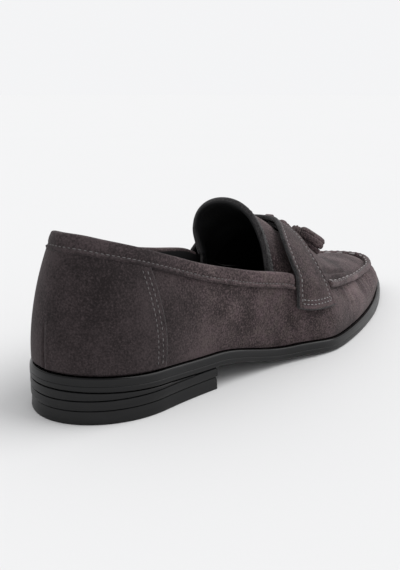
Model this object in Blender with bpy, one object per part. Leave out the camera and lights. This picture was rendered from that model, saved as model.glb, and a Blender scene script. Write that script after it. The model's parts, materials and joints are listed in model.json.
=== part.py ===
# Tassel loafer, a right shoe of about size EU 42, standing empty on its sole.
# Toe at -Y, heel at +Y, outer side at -X. The last is worked out from the sizes below.
import math

import bmesh
import bpy
import numpy as np

# Sole, seen from above
sole_length = 0.298
heel_half_width = 0.0328
waist_outer = 0.0407
waist_inner = 0.0285
ball_outer = 0.0503
ball_inner = 0.0485
toe_offset = 0.0099
lip_heel = 0.0022
lip_fore = 0.0030

# Sole, seen from the side
sole_thickness = 0.0063
arch_lift = 0.0025
toe_spring = 0.0056
wedge_rise = 0.0042
lift_thickness = 0.0044
top_piece_thickness = 0.0062
top_piece_flare = 0.0005
heel_length = 0.0715
edge_step = 0.0004
edge_round = 0.0007

# Upper
back_height = 0.0788
seam_height = 0.0315
crest_height = 0.0830
back_lean = 0.0130
seam_inset = 0.0100
wall_bulge = 0.0015
upper_wall = 0.0022
apron_wall = 0.0020
seam_radius = 0.0018
counter_thickness = 0.0009
counter_length = 0.0352
counter_rake = 0.0040
counter_bow = 0.0024
cuff_thickness = 0.0009
cuff_depth = 0.0064
cuff_inner_depth = 0.0055

# Strap, tongue and sock
strap_thickness = 0.0020
strap_low = 0.0150
tongue_thickness = 0.0015
tongue_tuck = 0.0070
tongue_pinch = 0.0130
tongue_bow = 0.0024
binding_thickness = 0.0006
binding_width = 0.0032
insole_thickness = 0.0030

# Lace and tassels
lace_width = 0.0034
lace_thickness = 0.0012
knot_radius = 0.0032
neck_radius = 0.0012
tassel_head_radius = 0.0040
tassel_head_length = 0.0050
tassel_skirt_radius = 0.0066
tassel_skirt_length = 0.0150
tassel_strips = 8
tassel_ragged = 0.0009
neck_rise = 0.0022
neck_length = 0.0045

gap = 0.0003
joint_gap = 0.0010

# The outer side is -X and the inner side +X
outer_side = {"waist": waist_outer, "waist at": 0.38, "ball": ball_outer,
              "ball at": 0.52, "toe end": -toe_offset, "fall": 1.38, "round": 1.68}
inner_side = {"waist": waist_inner, "waist at": 0.41, "ball": ball_inner,
              "ball at": 0.69, "toe end": toe_offset, "fall": 2.45, "round": 2.10}
heel_widest = 0.13
heel_power = 1.97

# Height of the sole's underside: place along the sole, then shares of four sizes
underside_rows = [
    # share, wedge, heel stack, arch, toe spring
    (0.00, 1.00, 1.00, 0.0, 0.0),
    (0.12, 0.42, 1.00, 0.0, 0.0),
    (0.24, 0.00, 1.00, 0.0, 0.0),
    (0.42, 0.00, 0.00, 1.0, 0.0),
    (0.56, 0.00, 0.00, 0.0, 0.0),
    (0.76, 0.00, 0.00, 0.0, 0.0),
    (0.88, 0.00, 0.00, 0.0, 0.36),
    (1.00, 0.00, 0.00, 0.0, 1.0),
]

# Top edge of the wall: the collar in shares of the back height, then the seam's own.
# The inner side stands a little higher
collar_rows = [
    # share, outer, inner
    (0.030, 0.978, 0.978),
    (0.044, 0.972, 0.972),
    (0.074, 0.938, 0.938),
    (0.117, 0.887, 0.887),
    (0.174, 0.810, 0.812),
    (0.221, 0.746, 0.754),
    (0.275, 0.689, 0.710),
    (0.336, 0.632, 0.666),
    (0.376, 0.604, 0.642),
    (0.410, 0.575, 0.618),
]
seam_rows = [
    # share, outer, inner
    (0.450, 1.260, 1.400),
    (0.500, 1.130, 1.200),
    (0.540, 1.030, 1.060),
    (0.600, 0.940, 0.950),
    (0.680, 0.840, 0.840),
    (0.760, 0.770, 0.770),
    (0.840, 0.710, 0.710),
    (0.950, 0.650, 0.650),
]

# How far the top edge lies inside the sole's edge, and how the wall swells below it
inset_rows = [
    # share, collar outer, collar inner, seam outer, seam inner, bulge, lean
    (0.00, 1.00, 1.00, 0.00, 0.00, 0.5, 1.7),
    (0.06, 1.06, 1.06, 0.00, 0.00, 0.5, 1.7),
    (0.10, 0.94, 0.90, 0.00, 0.00, 0.6, 1.7),
    (0.16, 0.62, 0.54, 0.00, 0.00, 0.9, 1.7),
    (0.22, 0.36, 0.22, 0.00, 0.00, 1.0, 1.6),
    (0.34, 0.21, -0.14, 0.00, 0.00, 1.0, 1.6),
    (0.42, 0.22, -0.24, 0.00, 0.00, 1.0, 1.9),
    (0.50, 0.00, 0.00, 0.62, 0.10, 1.0, 2.1),
    (0.56, 0.00, 0.00, 0.88, 0.55, 1.0, 2.2),
    (0.64, 0.00, 0.00, 1.00, 0.95, 1.0, 2.4),
    (0.75, 0.00, 0.00, 1.00, 1.15, 1.0, 2.4),
    (0.85, 0.00, 0.00, 0.95, 1.20, 0.8, 2.2),
    (0.93, 0.00, 0.00, 1.20, 1.35, 0.6, 2.1),
    (1.00, 0.00, 0.00, 1.55, 1.55, 0.5, 2.0),
]

# Centre line over the instep and forefoot, in shares of the crest and the toe offset
crest_rows = [
    # share, height, shift
    (0.389, 1.012, -0.50),
    (0.436, 0.903, -0.38),
    (0.503, 0.796, -0.20),
    (0.570, 0.686, -0.10),
    (0.638, 0.522, 0.03),
    (0.705, 0.425, 0.25),
    (0.772, 0.373, 0.45),
    (0.800, 0.360, 0.50),
]

# Tongue sections: width, how square the arch is, how far its sides are drawn in and how
# much of the apron's wall its top lies below the crest
tongue_rows = [
    # share, width, fullness, pinch, drop
    (0.390, 0.97, 2.20, 1.0, 1.0),
    (0.405, 0.97, 1.75, 0.9, 0.9),
    (0.430, 0.98, 1.15, 0.4, 0.5),
    (0.460, 1.00, 1.00, 0.0, 0.1),
    (0.560, 1.00, 1.00, 0.0, 0.1),
]

heel_fan_end = 0.26
toe_fan_start = 0.60
cuff_end = 0.4160
apron_back_side = 0.462
apron_back_top = 0.520
apron_dip = 0.022
tongue_lap = 0.022
tongue_back = 0.392
seam_start = 0.005
knot_ahead = 0.030
# Strap edges: share along the shoe at its ends, at the wall's top and on the crest
strap_edges = {"back": (0.421, 0.421, 0.511), "front": (0.512, 0.503, 0.541)}
# On the inner side the strap's two edges lie further forward by these shares
inner_ahead = {"back": 0.026, "front": 0.010}

stations = 88
wall_levels = [0.0, 0.14, 0.30, 0.46, 0.62, 0.76, 0.89, 1.0]
crown_levels = [0.0, 0.16, 0.34, 0.54, 0.76, 1.0]

for leftover in list(bpy.data.objects):
    bpy.data.objects.remove(leftover, do_unlink=True)


def make_material(name, colour, roughness):
    material = bpy.data.materials.new(name)
    material.use_nodes = True
    shader = material.node_tree.nodes["Principled BSDF"]
    shader.inputs["Base Color"].default_value = (*colour, 1.0)
    shader.inputs["Roughness"].default_value = roughness
    shader.inputs["Metallic"].default_value = 0.0
    return material


def curve_through(rows, column, at):
    # Smooth curve through a table's rows that never swings past a row
    knots = np.array([row[0] for row in rows], float)
    values = np.array([row[column] for row in rows], float)
    step = np.diff(knots)
    slope = np.diff(values) / step
    tangent = np.zeros_like(values)
    tangent[0], tangent[-1] = slope[0], slope[-1]
    for i in range(1, len(values) - 1):
        if slope[i - 1] * slope[i] > 0:
            before = 2 * step[i] + step[i - 1]
            after = step[i] + 2 * step[i - 1]
            tangent[i] = (before + after) / (before / slope[i - 1] + after / slope[i])
    at = np.clip(np.asarray(at, float), knots[0], knots[-1])
    i = np.clip(np.searchsorted(knots, at, side="right") - 1, 0, len(step) - 1)
    u = (at - knots[i]) / step[i]
    return (values[i] * (1 + 2 * u) * (1 - u) ** 2 + tangent[i] * step[i] * u * (1 - u) ** 2
            + values[i + 1] * u * u * (3 - 2 * u) + tangent[i + 1] * step[i] * u * u * (u - 1))


def wrap(around):
    # Place round the shoe: 0 at the back of the heel, 1 at the toe tip, negative on the inner side
    return (np.asarray(around, float) + 1) % 2 - 1


def share_of(around):
    return (1 - np.cos(np.pi * wrap(around))) / 2


def around_of(share):
    return math.acos(1 - 2 * share) / math.pi


def length_to_y(share):
    return (0.5 - share) * sole_length


def y_to_share(y):
    return 0.5 - y / sole_length


def half_width(share, side):
    heel = 1 - np.clip(1 - share / heel_widest, 0, 1) ** heel_power
    heel = heel_half_width * heel ** (1 / heel_power)
    rows = [(heel_widest, heel_half_width), (side["waist at"], side["waist"]),
            (side["ball at"], side["ball"])]
    middle = curve_through([(-1.0, heel_half_width)] + rows + [(2.0, side["ball"])], 1, share)
    ahead = np.clip((share - side["ball at"]) / (1 - side["ball at"]), 0, 1)
    toe = (1 - ahead ** side["fall"]) ** (1 / side["round"])
    toe = side["toe end"] + (side["ball"] - side["toe end"]) * toe
    return np.where(share < heel_widest, heel, np.where(share > side["ball at"], toe, middle))


def by_side(around, outer, inner):
    return np.where(wrap(around) >= 0, outer, inner)


def around_row():
    return np.arange(-stations // 2, stations // 2) * 2 / stations


# The widest points of both sides lie equally far from the middle
edge_shares = share_of(around_row())
centre_shift = (half_width(edge_shares, outer_side).max() - half_width(edge_shares, inner_side).max()) / 2


def sole_edge(around):
    share = share_of(around)
    x = by_side(around, -half_width(share, outer_side), half_width(share, inner_side))
    return np.stack([x + centre_shift, length_to_y(share)], -1)


def fan_share(share):
    # Centre point that a place on the edge looks to; the ends spread like a fan
    behind = np.clip(heel_fan_end - share, 0, 1)
    ahead = np.clip(share - toe_fan_start, 0, 1)
    return share + behind ** 2 / (2 * heel_fan_end) - ahead ** 2 / (2 * (1 - toe_fan_start))


def centre_point(around):
    share = fan_share(share_of(around))
    shift = curve_through(crest_rows, 2, share) * toe_offset * np.clip(share / 0.389, 0, 1)
    return np.stack([shift + centre_shift, length_to_y(share)], -1)


def inside_edge(around, inset):
    # Point in plan that lies the inset inside the sole's edge
    edge = sole_edge(around)
    inward = centre_point(around) - edge
    inward = inward / np.linalg.norm(inward, axis=-1, keepdims=True)
    return edge + inward * np.asarray(inset, float)[..., None]


def underside(y):
    share = y_to_share(y)
    sizes = (wedge_rise, lift_thickness + top_piece_thickness, arch_lift, toe_spring)
    return sum(curve_through(underside_rows, i + 1, share) * size for i, size in enumerate(sizes))


def sole_top(y):
    return underside(y) + sole_thickness


def lip_width(around):
    share = share_of(around)
    blend = np.clip((share - 0.15) / 0.30, 0, 1)
    return lip_heel + (lip_fore - lip_heel) * blend * blend * (3 - 2 * blend)


def top_edge_height(around, share):
    rows = [(row[0], row[1] * back_height, row[2] * back_height) for row in collar_rows]
    rows += [(row[0], row[1] * seam_height, row[2] * seam_height) for row in seam_rows]
    return by_side(around, curve_through(rows, 1, share), curve_through(rows, 2, share))


def top_inset(around):
    share = share_of(around)
    outer = (curve_through(inset_rows, 1, share) * back_lean
             + curve_through(inset_rows, 3, share) * seam_inset)
    inner = (curve_through(inset_rows, 2, share) * back_lean
             + curve_through(inset_rows, 4, share) * seam_inset)
    return by_side(around, outer, inner)


def raised(plan, z):
    return np.concatenate([plan, np.asarray(z)[..., None]], -1)


def wall(around, level):
    # Outer face of vamp and quarters: level 0 at the sole, 1 at the collar or seam
    around, level = np.broadcast_arrays(np.asarray(around, float), np.asarray(level, float))
    share = share_of(around)
    foot_inset = lip_width(around)
    head_inset = top_inset(around)
    lean = curve_through(inset_rows, 6, share)
    swell = wall_bulge * curve_through(inset_rows, 5, share)
    inset = foot_inset + (head_inset - foot_inset) * level ** lean - swell * np.sin(np.pi * level)
    foot = sole_top(inside_edge(around, foot_inset)[..., 1]) + gap
    head = top_edge_height(around, y_to_share(inside_edge(around, head_inset)[..., 1]))
    return raised(inside_edge(around, inset), foot + (head - foot) * level)


def crown(around, inward):
    # Top of the forefoot: 0 at the seam, 1 on the centre line
    around, inward = np.broadcast_arrays(np.asarray(around, float), np.asarray(inward, float))
    edge = wall(around, np.ones_like(around))
    share = fan_share(share_of(around))
    height = curve_through(crest_rows, 1, share) * crest_height
    centre = raised(centre_point(around), height)
    point = edge + (centre - edge) * inward[..., None]
    point[..., 2] = edge[..., 2] + (height - edge[..., 2]) * (1 - (1 - inward) ** 2)
    return point


def facing(surface, around, level):
    # Outward direction of a surface, by small steps both ways
    step = 0.0005
    up = surface(around, np.minimum(level + step, 1)) - surface(around, np.maximum(level - step, 0))
    along = surface(around + step, level) - surface(around - step, level)
    normal = np.cross(along, up)
    return normal / np.linalg.norm(normal, axis=-1, keepdims=True)


def lifted(surface, around, level, lift):
    around, level = np.broadcast_arrays(np.asarray(around, float), np.asarray(level, float))
    return surface(around, level) + facing(surface, around, level) * np.asarray(lift)[..., None]


def make_object(name, vertices, faces, material, weld=0.0):
    mesh = bpy.data.meshes.new(name)
    body = bmesh.new()
    made = [body.verts.new(point) for point in vertices]
    for face in faces:
        body.faces.new([made[i] for i in face])
    if weld:
        bmesh.ops.remove_doubles(body, verts=body.verts, dist=weld)
    body.to_mesh(mesh)
    body.free()
    mesh.shade_smooth()
    mesh.set_sharp_from_angle(angle=math.radians(38))
    mesh.materials.append(material)
    thing = bpy.data.objects.new(name, mesh)
    bpy.context.collection.objects.link(thing)
    return thing


def grid_faces(rows, columns, closed=False):
    # Quads over a grid whose points run column by column within each row
    faces = []
    for i in range(rows if closed else rows - 1):
        for j in range(columns - 1):
            a = i * columns + j
            b = (i + 1) % rows * columns + j
            faces.append((a, b, b + 1, a + 1))
    return faces


def sheet_to_solid(name, points, material, thickness, outward, closed=False):
    rows, columns = points.shape[:2]
    thing = make_object(name, points.reshape(-1, 3).tolist(), grid_faces(rows, columns, closed),
                        material)
    add_wall(thing, thickness, outward)
    return thing


def faces_to_solid(name, outer, inner, material):
    # Solid between two grids of points, with its four edges closed
    rows, columns = outer.shape[:2]
    count = rows * columns
    faces = grid_faces(rows, columns)
    faces += [tuple(count + i for i in face[::-1]) for face in faces]
    border = [j for j in range(columns)]
    border += [i * columns + columns - 1 for i in range(1, rows)]
    border += [(rows - 1) * columns + j for j in range(columns - 2, -1, -1)]
    border += [i * columns for i in range(rows - 2, 0, -1)]
    for a, b in zip(border, border[1:] + border[:1]):
        faces.append((a, b, count + b, count + a))
    vertices = np.concatenate([outer.reshape(-1, 3), inner.reshape(-1, 3)]).tolist()
    return make_object(name, vertices, faces, material)


def add_wall(thing, thickness, outward):
    shell = thing.modifiers.new("Wall", "SOLIDIFY")
    shell.thickness = thickness
    shell.offset = 1.0 if outward else -1.0
    shell.use_even_offset = False
    shell.use_rim = True


def station_row(start=-1.0, end=1.0):
    # The shared places round the shoe between two ends, with the ends themselves
    shared = np.arange(-stations // 2, stations // 2) * 2 / stations
    inside = shared[(shared > start + 0.006) & (shared < end - 0.006)]
    return np.concatenate([[start], inside, [end]])


def ring(inset, height, places):
    plan = inside_edge(places, inset * np.ones_like(places))
    return raised(plan, height(plan[:, 1]))


def rings_to_solid(name, rings, material, closed_round):
    # Stack of rings from bottom to top; each end is capped with strips from side to side
    count = len(rings[0])
    vertices = np.concatenate(rings).tolist()
    faces = []
    for k in range(len(rings) - 1):
        for i in range(count):
            j = (i + 1) % count
            faces.append((k * count + i, k * count + j, (k + 1) * count + j, (k + 1) * count + i))
    if closed_round:
        pairs = [(i, (count - i) % count) for i in range(count // 2 + 1)]
    else:
        pairs = [(i, count - 1 - i) for i in range((count + 1) // 2)]
    last = (len(rings) - 1) * count
    for (a, b), (c, d) in zip(pairs, pairs[1:]):
        strip = list(dict.fromkeys([a, c, d, b]))
        faces.append(strip[::-1])
        faces.append([last + i for i in strip])
    return make_object(name, vertices, faces, material)


def build_outsole(material):
    places = around_row()
    levels = [
        # inset, share of the thickness
        (edge_round, 0.00),
        (0.0, 0.10),
        (0.0, 0.36),
        (edge_step, 0.40),
        (0.0, 0.46),
        (edge_step, 0.86),
        (edge_round * 1.6, 1.00),
    ]
    rings = []
    for inset, rise in levels:
        rings.append(ring(inset, lambda y, rise=rise: underside(y) + sole_thickness * rise, places))
    return rings_to_solid("outsole", rings, material, True)


def heel_places(front):
    reach = around_of(front)
    return station_row(-reach, reach)


def build_heel(material):
    lift_floor = top_piece_thickness
    stack = lift_floor + lift_thickness
    front = heel_length / sole_length

    def level(height):
        return lambda y: np.full_like(y, height)

    def cap_rings(places, low, high, flare):
        return [ring(edge_round, low, places),
                ring(0.0, lambda y: low(y) + edge_round, places),
                ring(flare, lambda y: high(y) - edge_round, places),
                ring(flare + edge_round, high, places)]

    places = heel_places(front)
    rings = cap_rings(places, level(0.0), level(lift_floor - gap), top_piece_flare)
    rings_to_solid("heel_top_piece", rings, material, False)
    rings = cap_rings(places, level(lift_floor), level(stack - gap), 0.0)
    rings_to_solid("heel_lift", rings, material, False)
    places = heel_places(front * 0.80)
    wedge_round = edge_round * 0.4
    rings = [ring(wedge_round, level(stack), places),
             ring(0.0, lambda y: stack + (underside(y) - gap - stack) * 0.25, places),
             ring(0.0, lambda y: stack + (underside(y) - gap - stack) * 0.75, places),
             ring(wedge_round, lambda y: underside(y) - gap, places)]
    rings_to_solid("heel_wedge", rings, material, False)


def build_insole(material):
    places = around_row()
    inset = lip_width(places) + upper_wall + 3 * gap
    rings = []
    for extra, rise in ((0.0, 0.0), (0.0, 0.7), (insole_thickness * 0.4, 1.0)):
        plan = inside_edge(places, inset + extra)
        rings.append(raised(plan, sole_top(plan[:, 1]) + gap + insole_thickness * rise))
    return rings_to_solid("insole", rings, material, True)


def build_upper(material):
    places = around_row()
    points = wall(places[:, None], np.array(wall_levels)[None, :])
    return sheet_to_solid("upper", points, material, upper_wall, False, closed=True)


def sweep(inward):
    # How far a cross line has moved from the side's place to the crest's place
    return (1 - np.cos(np.pi * inward ** 1.25)) / 2


def apron_back(inward):
    return apron_back_side + (apron_back_top - apron_back_side) * sweep(inward)


def build_apron(material):
    columns = [float(value) for value in np.linspace(0.0, 1.0, 23) ** 0.85]
    inward = np.array(crown_levels)
    back = np.arccos(1 - 2 * apron_back(inward)) / np.pi
    rows = []
    for sign in (1, -1):
        part = columns if sign == 1 else columns[-2::-1]
        for value in part:
            places = sign * (back + (1 - back) * value)
            edge = crown(places[:1], 0.0)
            centre = crown(places[:1], 1.0)
            start = joint_gap / np.linalg.norm((centre - edge)[0, :2])
            rows.append(crown(places, start + (1 - start) * inward))
    points = np.array(rows)
    count = points.shape[1]
    thing = make_object("apron", points.reshape(-1, 3).tolist(), grid_faces(len(rows), count),
                        material, weld=0.0006)
    add_wall(thing, apron_wall, False)
    return thing


def build_seam(material):
    start = strap_edges["front"][1] + seam_start
    outer = np.linspace(around_of(start), 1.0, 25)
    inner = np.linspace(around_of(start + inner_ahead["front"]), 1.0, 25)
    places = np.concatenate([outer, -inner[-2::-1]])
    low = facing(wall, places, np.full_like(places, 0.995))
    high = facing(crown, places, np.full_like(places, 0.005))
    out = low + high
    out = out / np.linalg.norm(out, axis=-1, keepdims=True)
    inner = crown(places, 0.02) - crown(places, 0.0)
    inner = inner / np.linalg.norm(inner, axis=-1, keepdims=True)
    points = wall(places, 1.0) + out * (seam_radius + gap) + inner * joint_gap * 0.5
    along = np.gradient(points, axis=0)
    side = np.cross(along, out)
    side = side / np.linalg.norm(side, axis=-1, keepdims=True)
    sides = 8
    vertices, faces = [], []
    for point, up, across in zip(points, out, side):
        for k in range(sides):
            angle = 2 * math.pi * k / sides
            vertices.append(point + (up * math.sin(angle) + across * math.cos(angle)) * seam_radius)
    for i in range(len(points) - 1):
        for k in range(sides):
            n = (k + 1) % sides
            faces.append((i * sides + k, (i + 1) * sides + k, (i + 1) * sides + n, i * sides + n))
    last = (len(points) - 1) * sides
    faces.append(list(range(sides)))
    faces.append([last + k for k in range(sides)][::-1])
    return make_object("moccasin_seam", [tuple(v) for v in vertices], faces, material)


def cuff_levels():
    # Level on the wall where the cuff ends, at each place
    def depth(around):
        height = wall(around, 1.0)[..., 2] - wall(around, 0.0)[..., 2]
        return 1 - cuff_depth / height
    return depth


def build_counter(material):
    limit = cuff_levels()
    low = around_of(counter_length / sole_length)
    high = around_of((counter_length + counter_rake) / sole_length)
    bow_reach = around_of((counter_length + counter_bow) / sole_length) - low
    spread = np.linspace(-1, 1, 25)
    rows = []
    for value in spread:
        levels = np.array([0.02] + [level for level in wall_levels if 0.1 < level < 0.8] + [1.0])
        top = limit(np.array(value * low)) - 0.012
        levels = np.minimum(levels, top)
        levels[-2] = levels[-3] + (top - levels[-3]) * 0.5
        bow = bow_reach * np.sin(np.pi * (1 - levels / top))
        reach = high + (low - high) * levels / top + bow
        rows.append(lifted(wall, value * reach, levels, gap))
    return sheet_to_solid("heel_counter", np.array(rows), material, counter_thickness, True)


def fold_round(name, outer, outer_out, inner, inner_out, tip, thickness, clear, material):
    # Binding folded round a panel's edge: rows run from the leg's end to the edge
    skin = clear + thickness
    loops = []
    for i in range(outer.shape[0]):
        loop = [outer[i, j] + outer_out[i, j] * skin for j in range(outer.shape[1])]
        loop.append(outer[i, -1] + outer_out[i, -1] * clear + tip[i] * skin)
        loop.append(inner[i, -1] + inner_out[i, -1] * clear + tip[i] * skin)
        loop += [inner[i, j] + inner_out[i, j] * skin for j in reversed(range(inner.shape[1]))]
        loop += [inner[i, j] + inner_out[i, j] * clear for j in range(inner.shape[1])]
        loop[-1] = loop[-1] + tip[i] * clear
        outer_line = [outer[i, j] + outer_out[i, j] * clear for j in range(outer.shape[1])]
        outer_line[-1] = outer_line[-1] + tip[i] * clear
        loop += outer_line[::-1]
        loops.append(loop)
    count = len(loops[0])
    faces = []
    for i in range(len(loops) - 1):
        for j in range(count):
            k = (j + 1) % count
            faces.append((i * count + j, (i + 1) * count + j, (i + 1) * count + k, i * count + k))
    # Each end is closed by a strip of quads between the fold's two faces
    legs_outer, legs_inner = outer.shape[1], inner.shape[1]
    pairs = [(j, count - 1 - j) for j in range(legs_outer)]
    inner_start = legs_outer + 2
    pairs += [(inner_start + j, count - 1 - legs_outer - j) for j in range(legs_inner)]
    last = (len(loops) - 1) * count
    for k, ((a, b), (c, d)) in enumerate(zip(pairs, pairs[1:])):
        quad = [a, c, d, b]
        if k == legs_outer - 1:
            quad = [a, a + 1, a + 2, c, d, b]
        faces.append(quad)
        faces.append([last + i for i in reversed(quad)])
    return make_object(name, [tuple(p) for loop in loops for p in loop], faces, material)


def build_cuff(material):
    places = station_row(-around_of(cuff_end + inner_ahead["back"]), around_of(cuff_end))
    limit = cuff_levels()(places)
    levels = limit[:, None] + (1 - limit[:, None]) * np.array([0.0, 0.5, 1.0])
    across = np.broadcast_to(places[:, None], levels.shape)
    outer = wall(across, levels)
    outer_out = facing(wall, across, levels)
    depth = 1 - (1 - limit) * cuff_inner_depth / cuff_depth
    levels = depth[:, None] + (1 - depth[:, None]) * np.array([0.0, 0.5, 1.0])
    inner_out = -facing(wall, across, levels)
    inner = wall(across, levels) + inner_out * upper_wall
    tip = wall(places, 1.0) - wall(places, 0.97)
    tip = tip / np.linalg.norm(tip, axis=-1, keepdims=True)
    return fold_round("collar_cuff", outer, outer_out, inner, inner_out, tip, cuff_thickness,
                      gap, material)


def tongue_face(place, across):
    # Outer face of the tongue: share along the shoe, then -1 to 1 from outer to inner foot
    place, across = np.broadcast_arrays(np.asarray(place, float), np.asarray(across, float))
    around = np.where(across < 0, 1, -1) * np.arccos(1 - 2 * place) / np.pi
    leg = np.clip(np.abs(across) - 0.8, 0, 1) / 0.2
    edge = wall(around, np.ones_like(place))
    tall = edge[..., 2] - wall(around, np.zeros_like(place))[..., 2]
    foot = wall(around, 1 - leg * tongue_tuck / tall)
    shift = curve_through(crest_rows, 2, place) * toe_offset + centre_shift
    room = upper_wall + cuff_thickness + 5 * gap
    width = (np.abs(foot[..., 0] - shift) - room) * curve_through(tongue_rows, 1, place)
    full = curve_through(tongue_rows, 2, place)
    arch = np.clip(np.abs(across) / 0.8, 0, 1)
    reach = 1 - (1 - arch) ** 1.4
    covered = np.clip((place - apron_back(1 - reach)) / apron_dip + 1.25, 0, 1)
    drop = np.maximum(curve_through(tongue_rows, 4, place), covered) * apron_wall + 3 * gap
    top = curve_through(crest_rows, 1, place) * crest_height - drop
    rise = (1 - reach ** 2) ** (1 / full)
    inner_draw = (1 - rise) ** 1.3 * tongue_pinch
    outer_draw = (1 + 3 * rise) * (1 - rise) * tongue_bow
    drawn = np.where(across > 0, -inner_draw, outer_draw) * curve_through(tongue_rows, 3, place)
    x = shift + np.sign(across) * width * reach + drawn
    z = edge[..., 2] + (top - edge[..., 2]) * rise - leg * tongue_tuck
    return np.stack([x, length_to_y(place), z], -1)


def tongue_out(place, across):
    step = 0.002
    along = tongue_face(place + step, across) - tongue_face(place - step, across)
    side = tongue_face(place, np.minimum(across + step, 1))
    side = side - tongue_face(place, np.maximum(across - step, -1))
    normal = np.cross(along, side)
    normal = normal / np.linalg.norm(normal, axis=-1, keepdims=True)
    return normal


def tongue_across():
    arch = np.linspace(0, 0.8, 9)
    half = np.concatenate([arch, [0.9, 1.0]])
    return np.concatenate([-half[:0:-1], half])


def tongue_front(across):
    arch = np.clip(np.abs(across) / 0.8, 0, 1)
    inward = (1 - arch) ** 1.4
    return apron_back(inward) + tongue_lap


tongue_steps = (0.0, 0.08, 0.16, 0.28, 0.42, 0.57, 0.70, 0.83, 1.0)


def build_tongue(material):
    across = tongue_across()
    front = tongue_front(across)
    rows = []
    for value in tongue_steps:
        place = tongue_back + (front - tongue_back) * value
        rows.append(tongue_face(place, across))
    inside = []
    for value in tongue_steps:
        place = tongue_back + (front - tongue_back) * value
        inside.append(rows[len(inside)] - tongue_out(place, across) * tongue_thickness)
    return faces_to_solid("tongue", np.array(rows), np.array(inside), material)


def build_tongue_binding(material):
    across = tongue_across()[2:-2]
    length = binding_width / sole_length
    place = tongue_back + length * np.array([1.0, 0.5, 0.0])
    place, across = np.broadcast_arrays(place[None, :], across[:, None])
    outer = tongue_face(place, across)
    outer_out = tongue_out(place, across)
    inner = outer - outer_out * tongue_thickness
    tip = outer[:, -1] - outer[:, -2]
    tip = tip / np.linalg.norm(tip, axis=-1, keepdims=True)
    return fold_round("tongue_binding", outer, outer_out, inner, -outer_out, tip,
                      binding_thickness, 2 * gap, material)


def strap_line(share_side, share_top, share_crest, ahead, spread):
    # One line across the strap, from its outer end over the crest to its inner end
    low_levels = np.array([0.0, 0.33, 0.66])
    crown_steps = np.array([0.0, 0.10, 0.22, 0.36, 0.52, 0.70, 0.85, 1.0])
    points, normals = [], []
    for sign, shift in ((1, 0.0), (-1, ahead)):
        side, top = share_side + shift, share_top + shift
        height = wall(sign * around_of(top), 1.0)[2] - wall(sign * around_of(top), 0.0)[2]
        low = 1 - strap_low / height * spread
        levels = low + (1 - low) * low_levels
        place = side + (top - side) * low_levels
        place = sign * np.arccos(1 - 2 * place) / np.pi
        side_points = wall(place, levels)
        side_out = facing(wall, place, levels)
        place = top + (share_crest - top) * sweep(crown_steps)
        place = sign * np.arccos(1 - 2 * place) / np.pi
        top_points = crown(place, crown_steps)
        top_out = facing(crown, place, np.minimum(crown_steps, 0.97))
        top_out[0] = top_out[0] + facing(wall, place[:1], np.ones(1))[0]
        top_out[0] = top_out[0] / np.linalg.norm(top_out[0])
        points.append(np.concatenate([side_points, top_points]))
        normals.append(np.concatenate([side_out, top_out]))
    crest_out = normals[0][-1] + normals[1][-1]
    crest_out = crest_out / np.linalg.norm(crest_out)
    line = np.concatenate([points[0], points[1][-2::-1]])
    out = np.concatenate([normals[0][:-1], [crest_out], normals[1][-2::-1]])
    return line, out


def build_strap(material):
    back, front = strap_edges["back"], strap_edges["front"]
    rows = []
    for value in np.linspace(0, 1, 6):
        side, top, crest = (b + (f - b) * value for b, f in zip(back, front))
        ahead = inner_ahead["back"] + (inner_ahead["front"] - inner_ahead["back"]) * value
        spread = 1.0 - 0.38 * value
        line, out = strap_line(side, top, crest, ahead, spread)
        rows.append(line + out * 2 * gap)
    points = np.array(rows)
    return sheet_to_solid("strap", points, material, strap_thickness, True)


def crest_at(share):
    return np.array([
        curve_through(crest_rows, 2, share) * toe_offset + centre_shift,
        length_to_y(share),
        curve_through(crest_rows, 1, share) * crest_height,
    ])


def add_lump(body, centre, radii):
    made = bmesh.ops.create_uvsphere(body, u_segments=12, v_segments=8, radius=1.0)
    for vert in made["verts"]:
        vert.co = [centre[i] + vert.co[i] * radii[i] for i in range(3)]


def tassel_frame(turn, dip):
    # Axes of a tassel that points forward, turned to one side and dipping
    along = np.array([math.sin(turn) * math.cos(dip), -math.cos(turn) * math.cos(dip),
                      -math.sin(dip)])
    side = np.cross(along, (0.0, 0.0, 1.0))
    side = side / np.linalg.norm(side)
    return along, side, np.cross(side, along)


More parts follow.
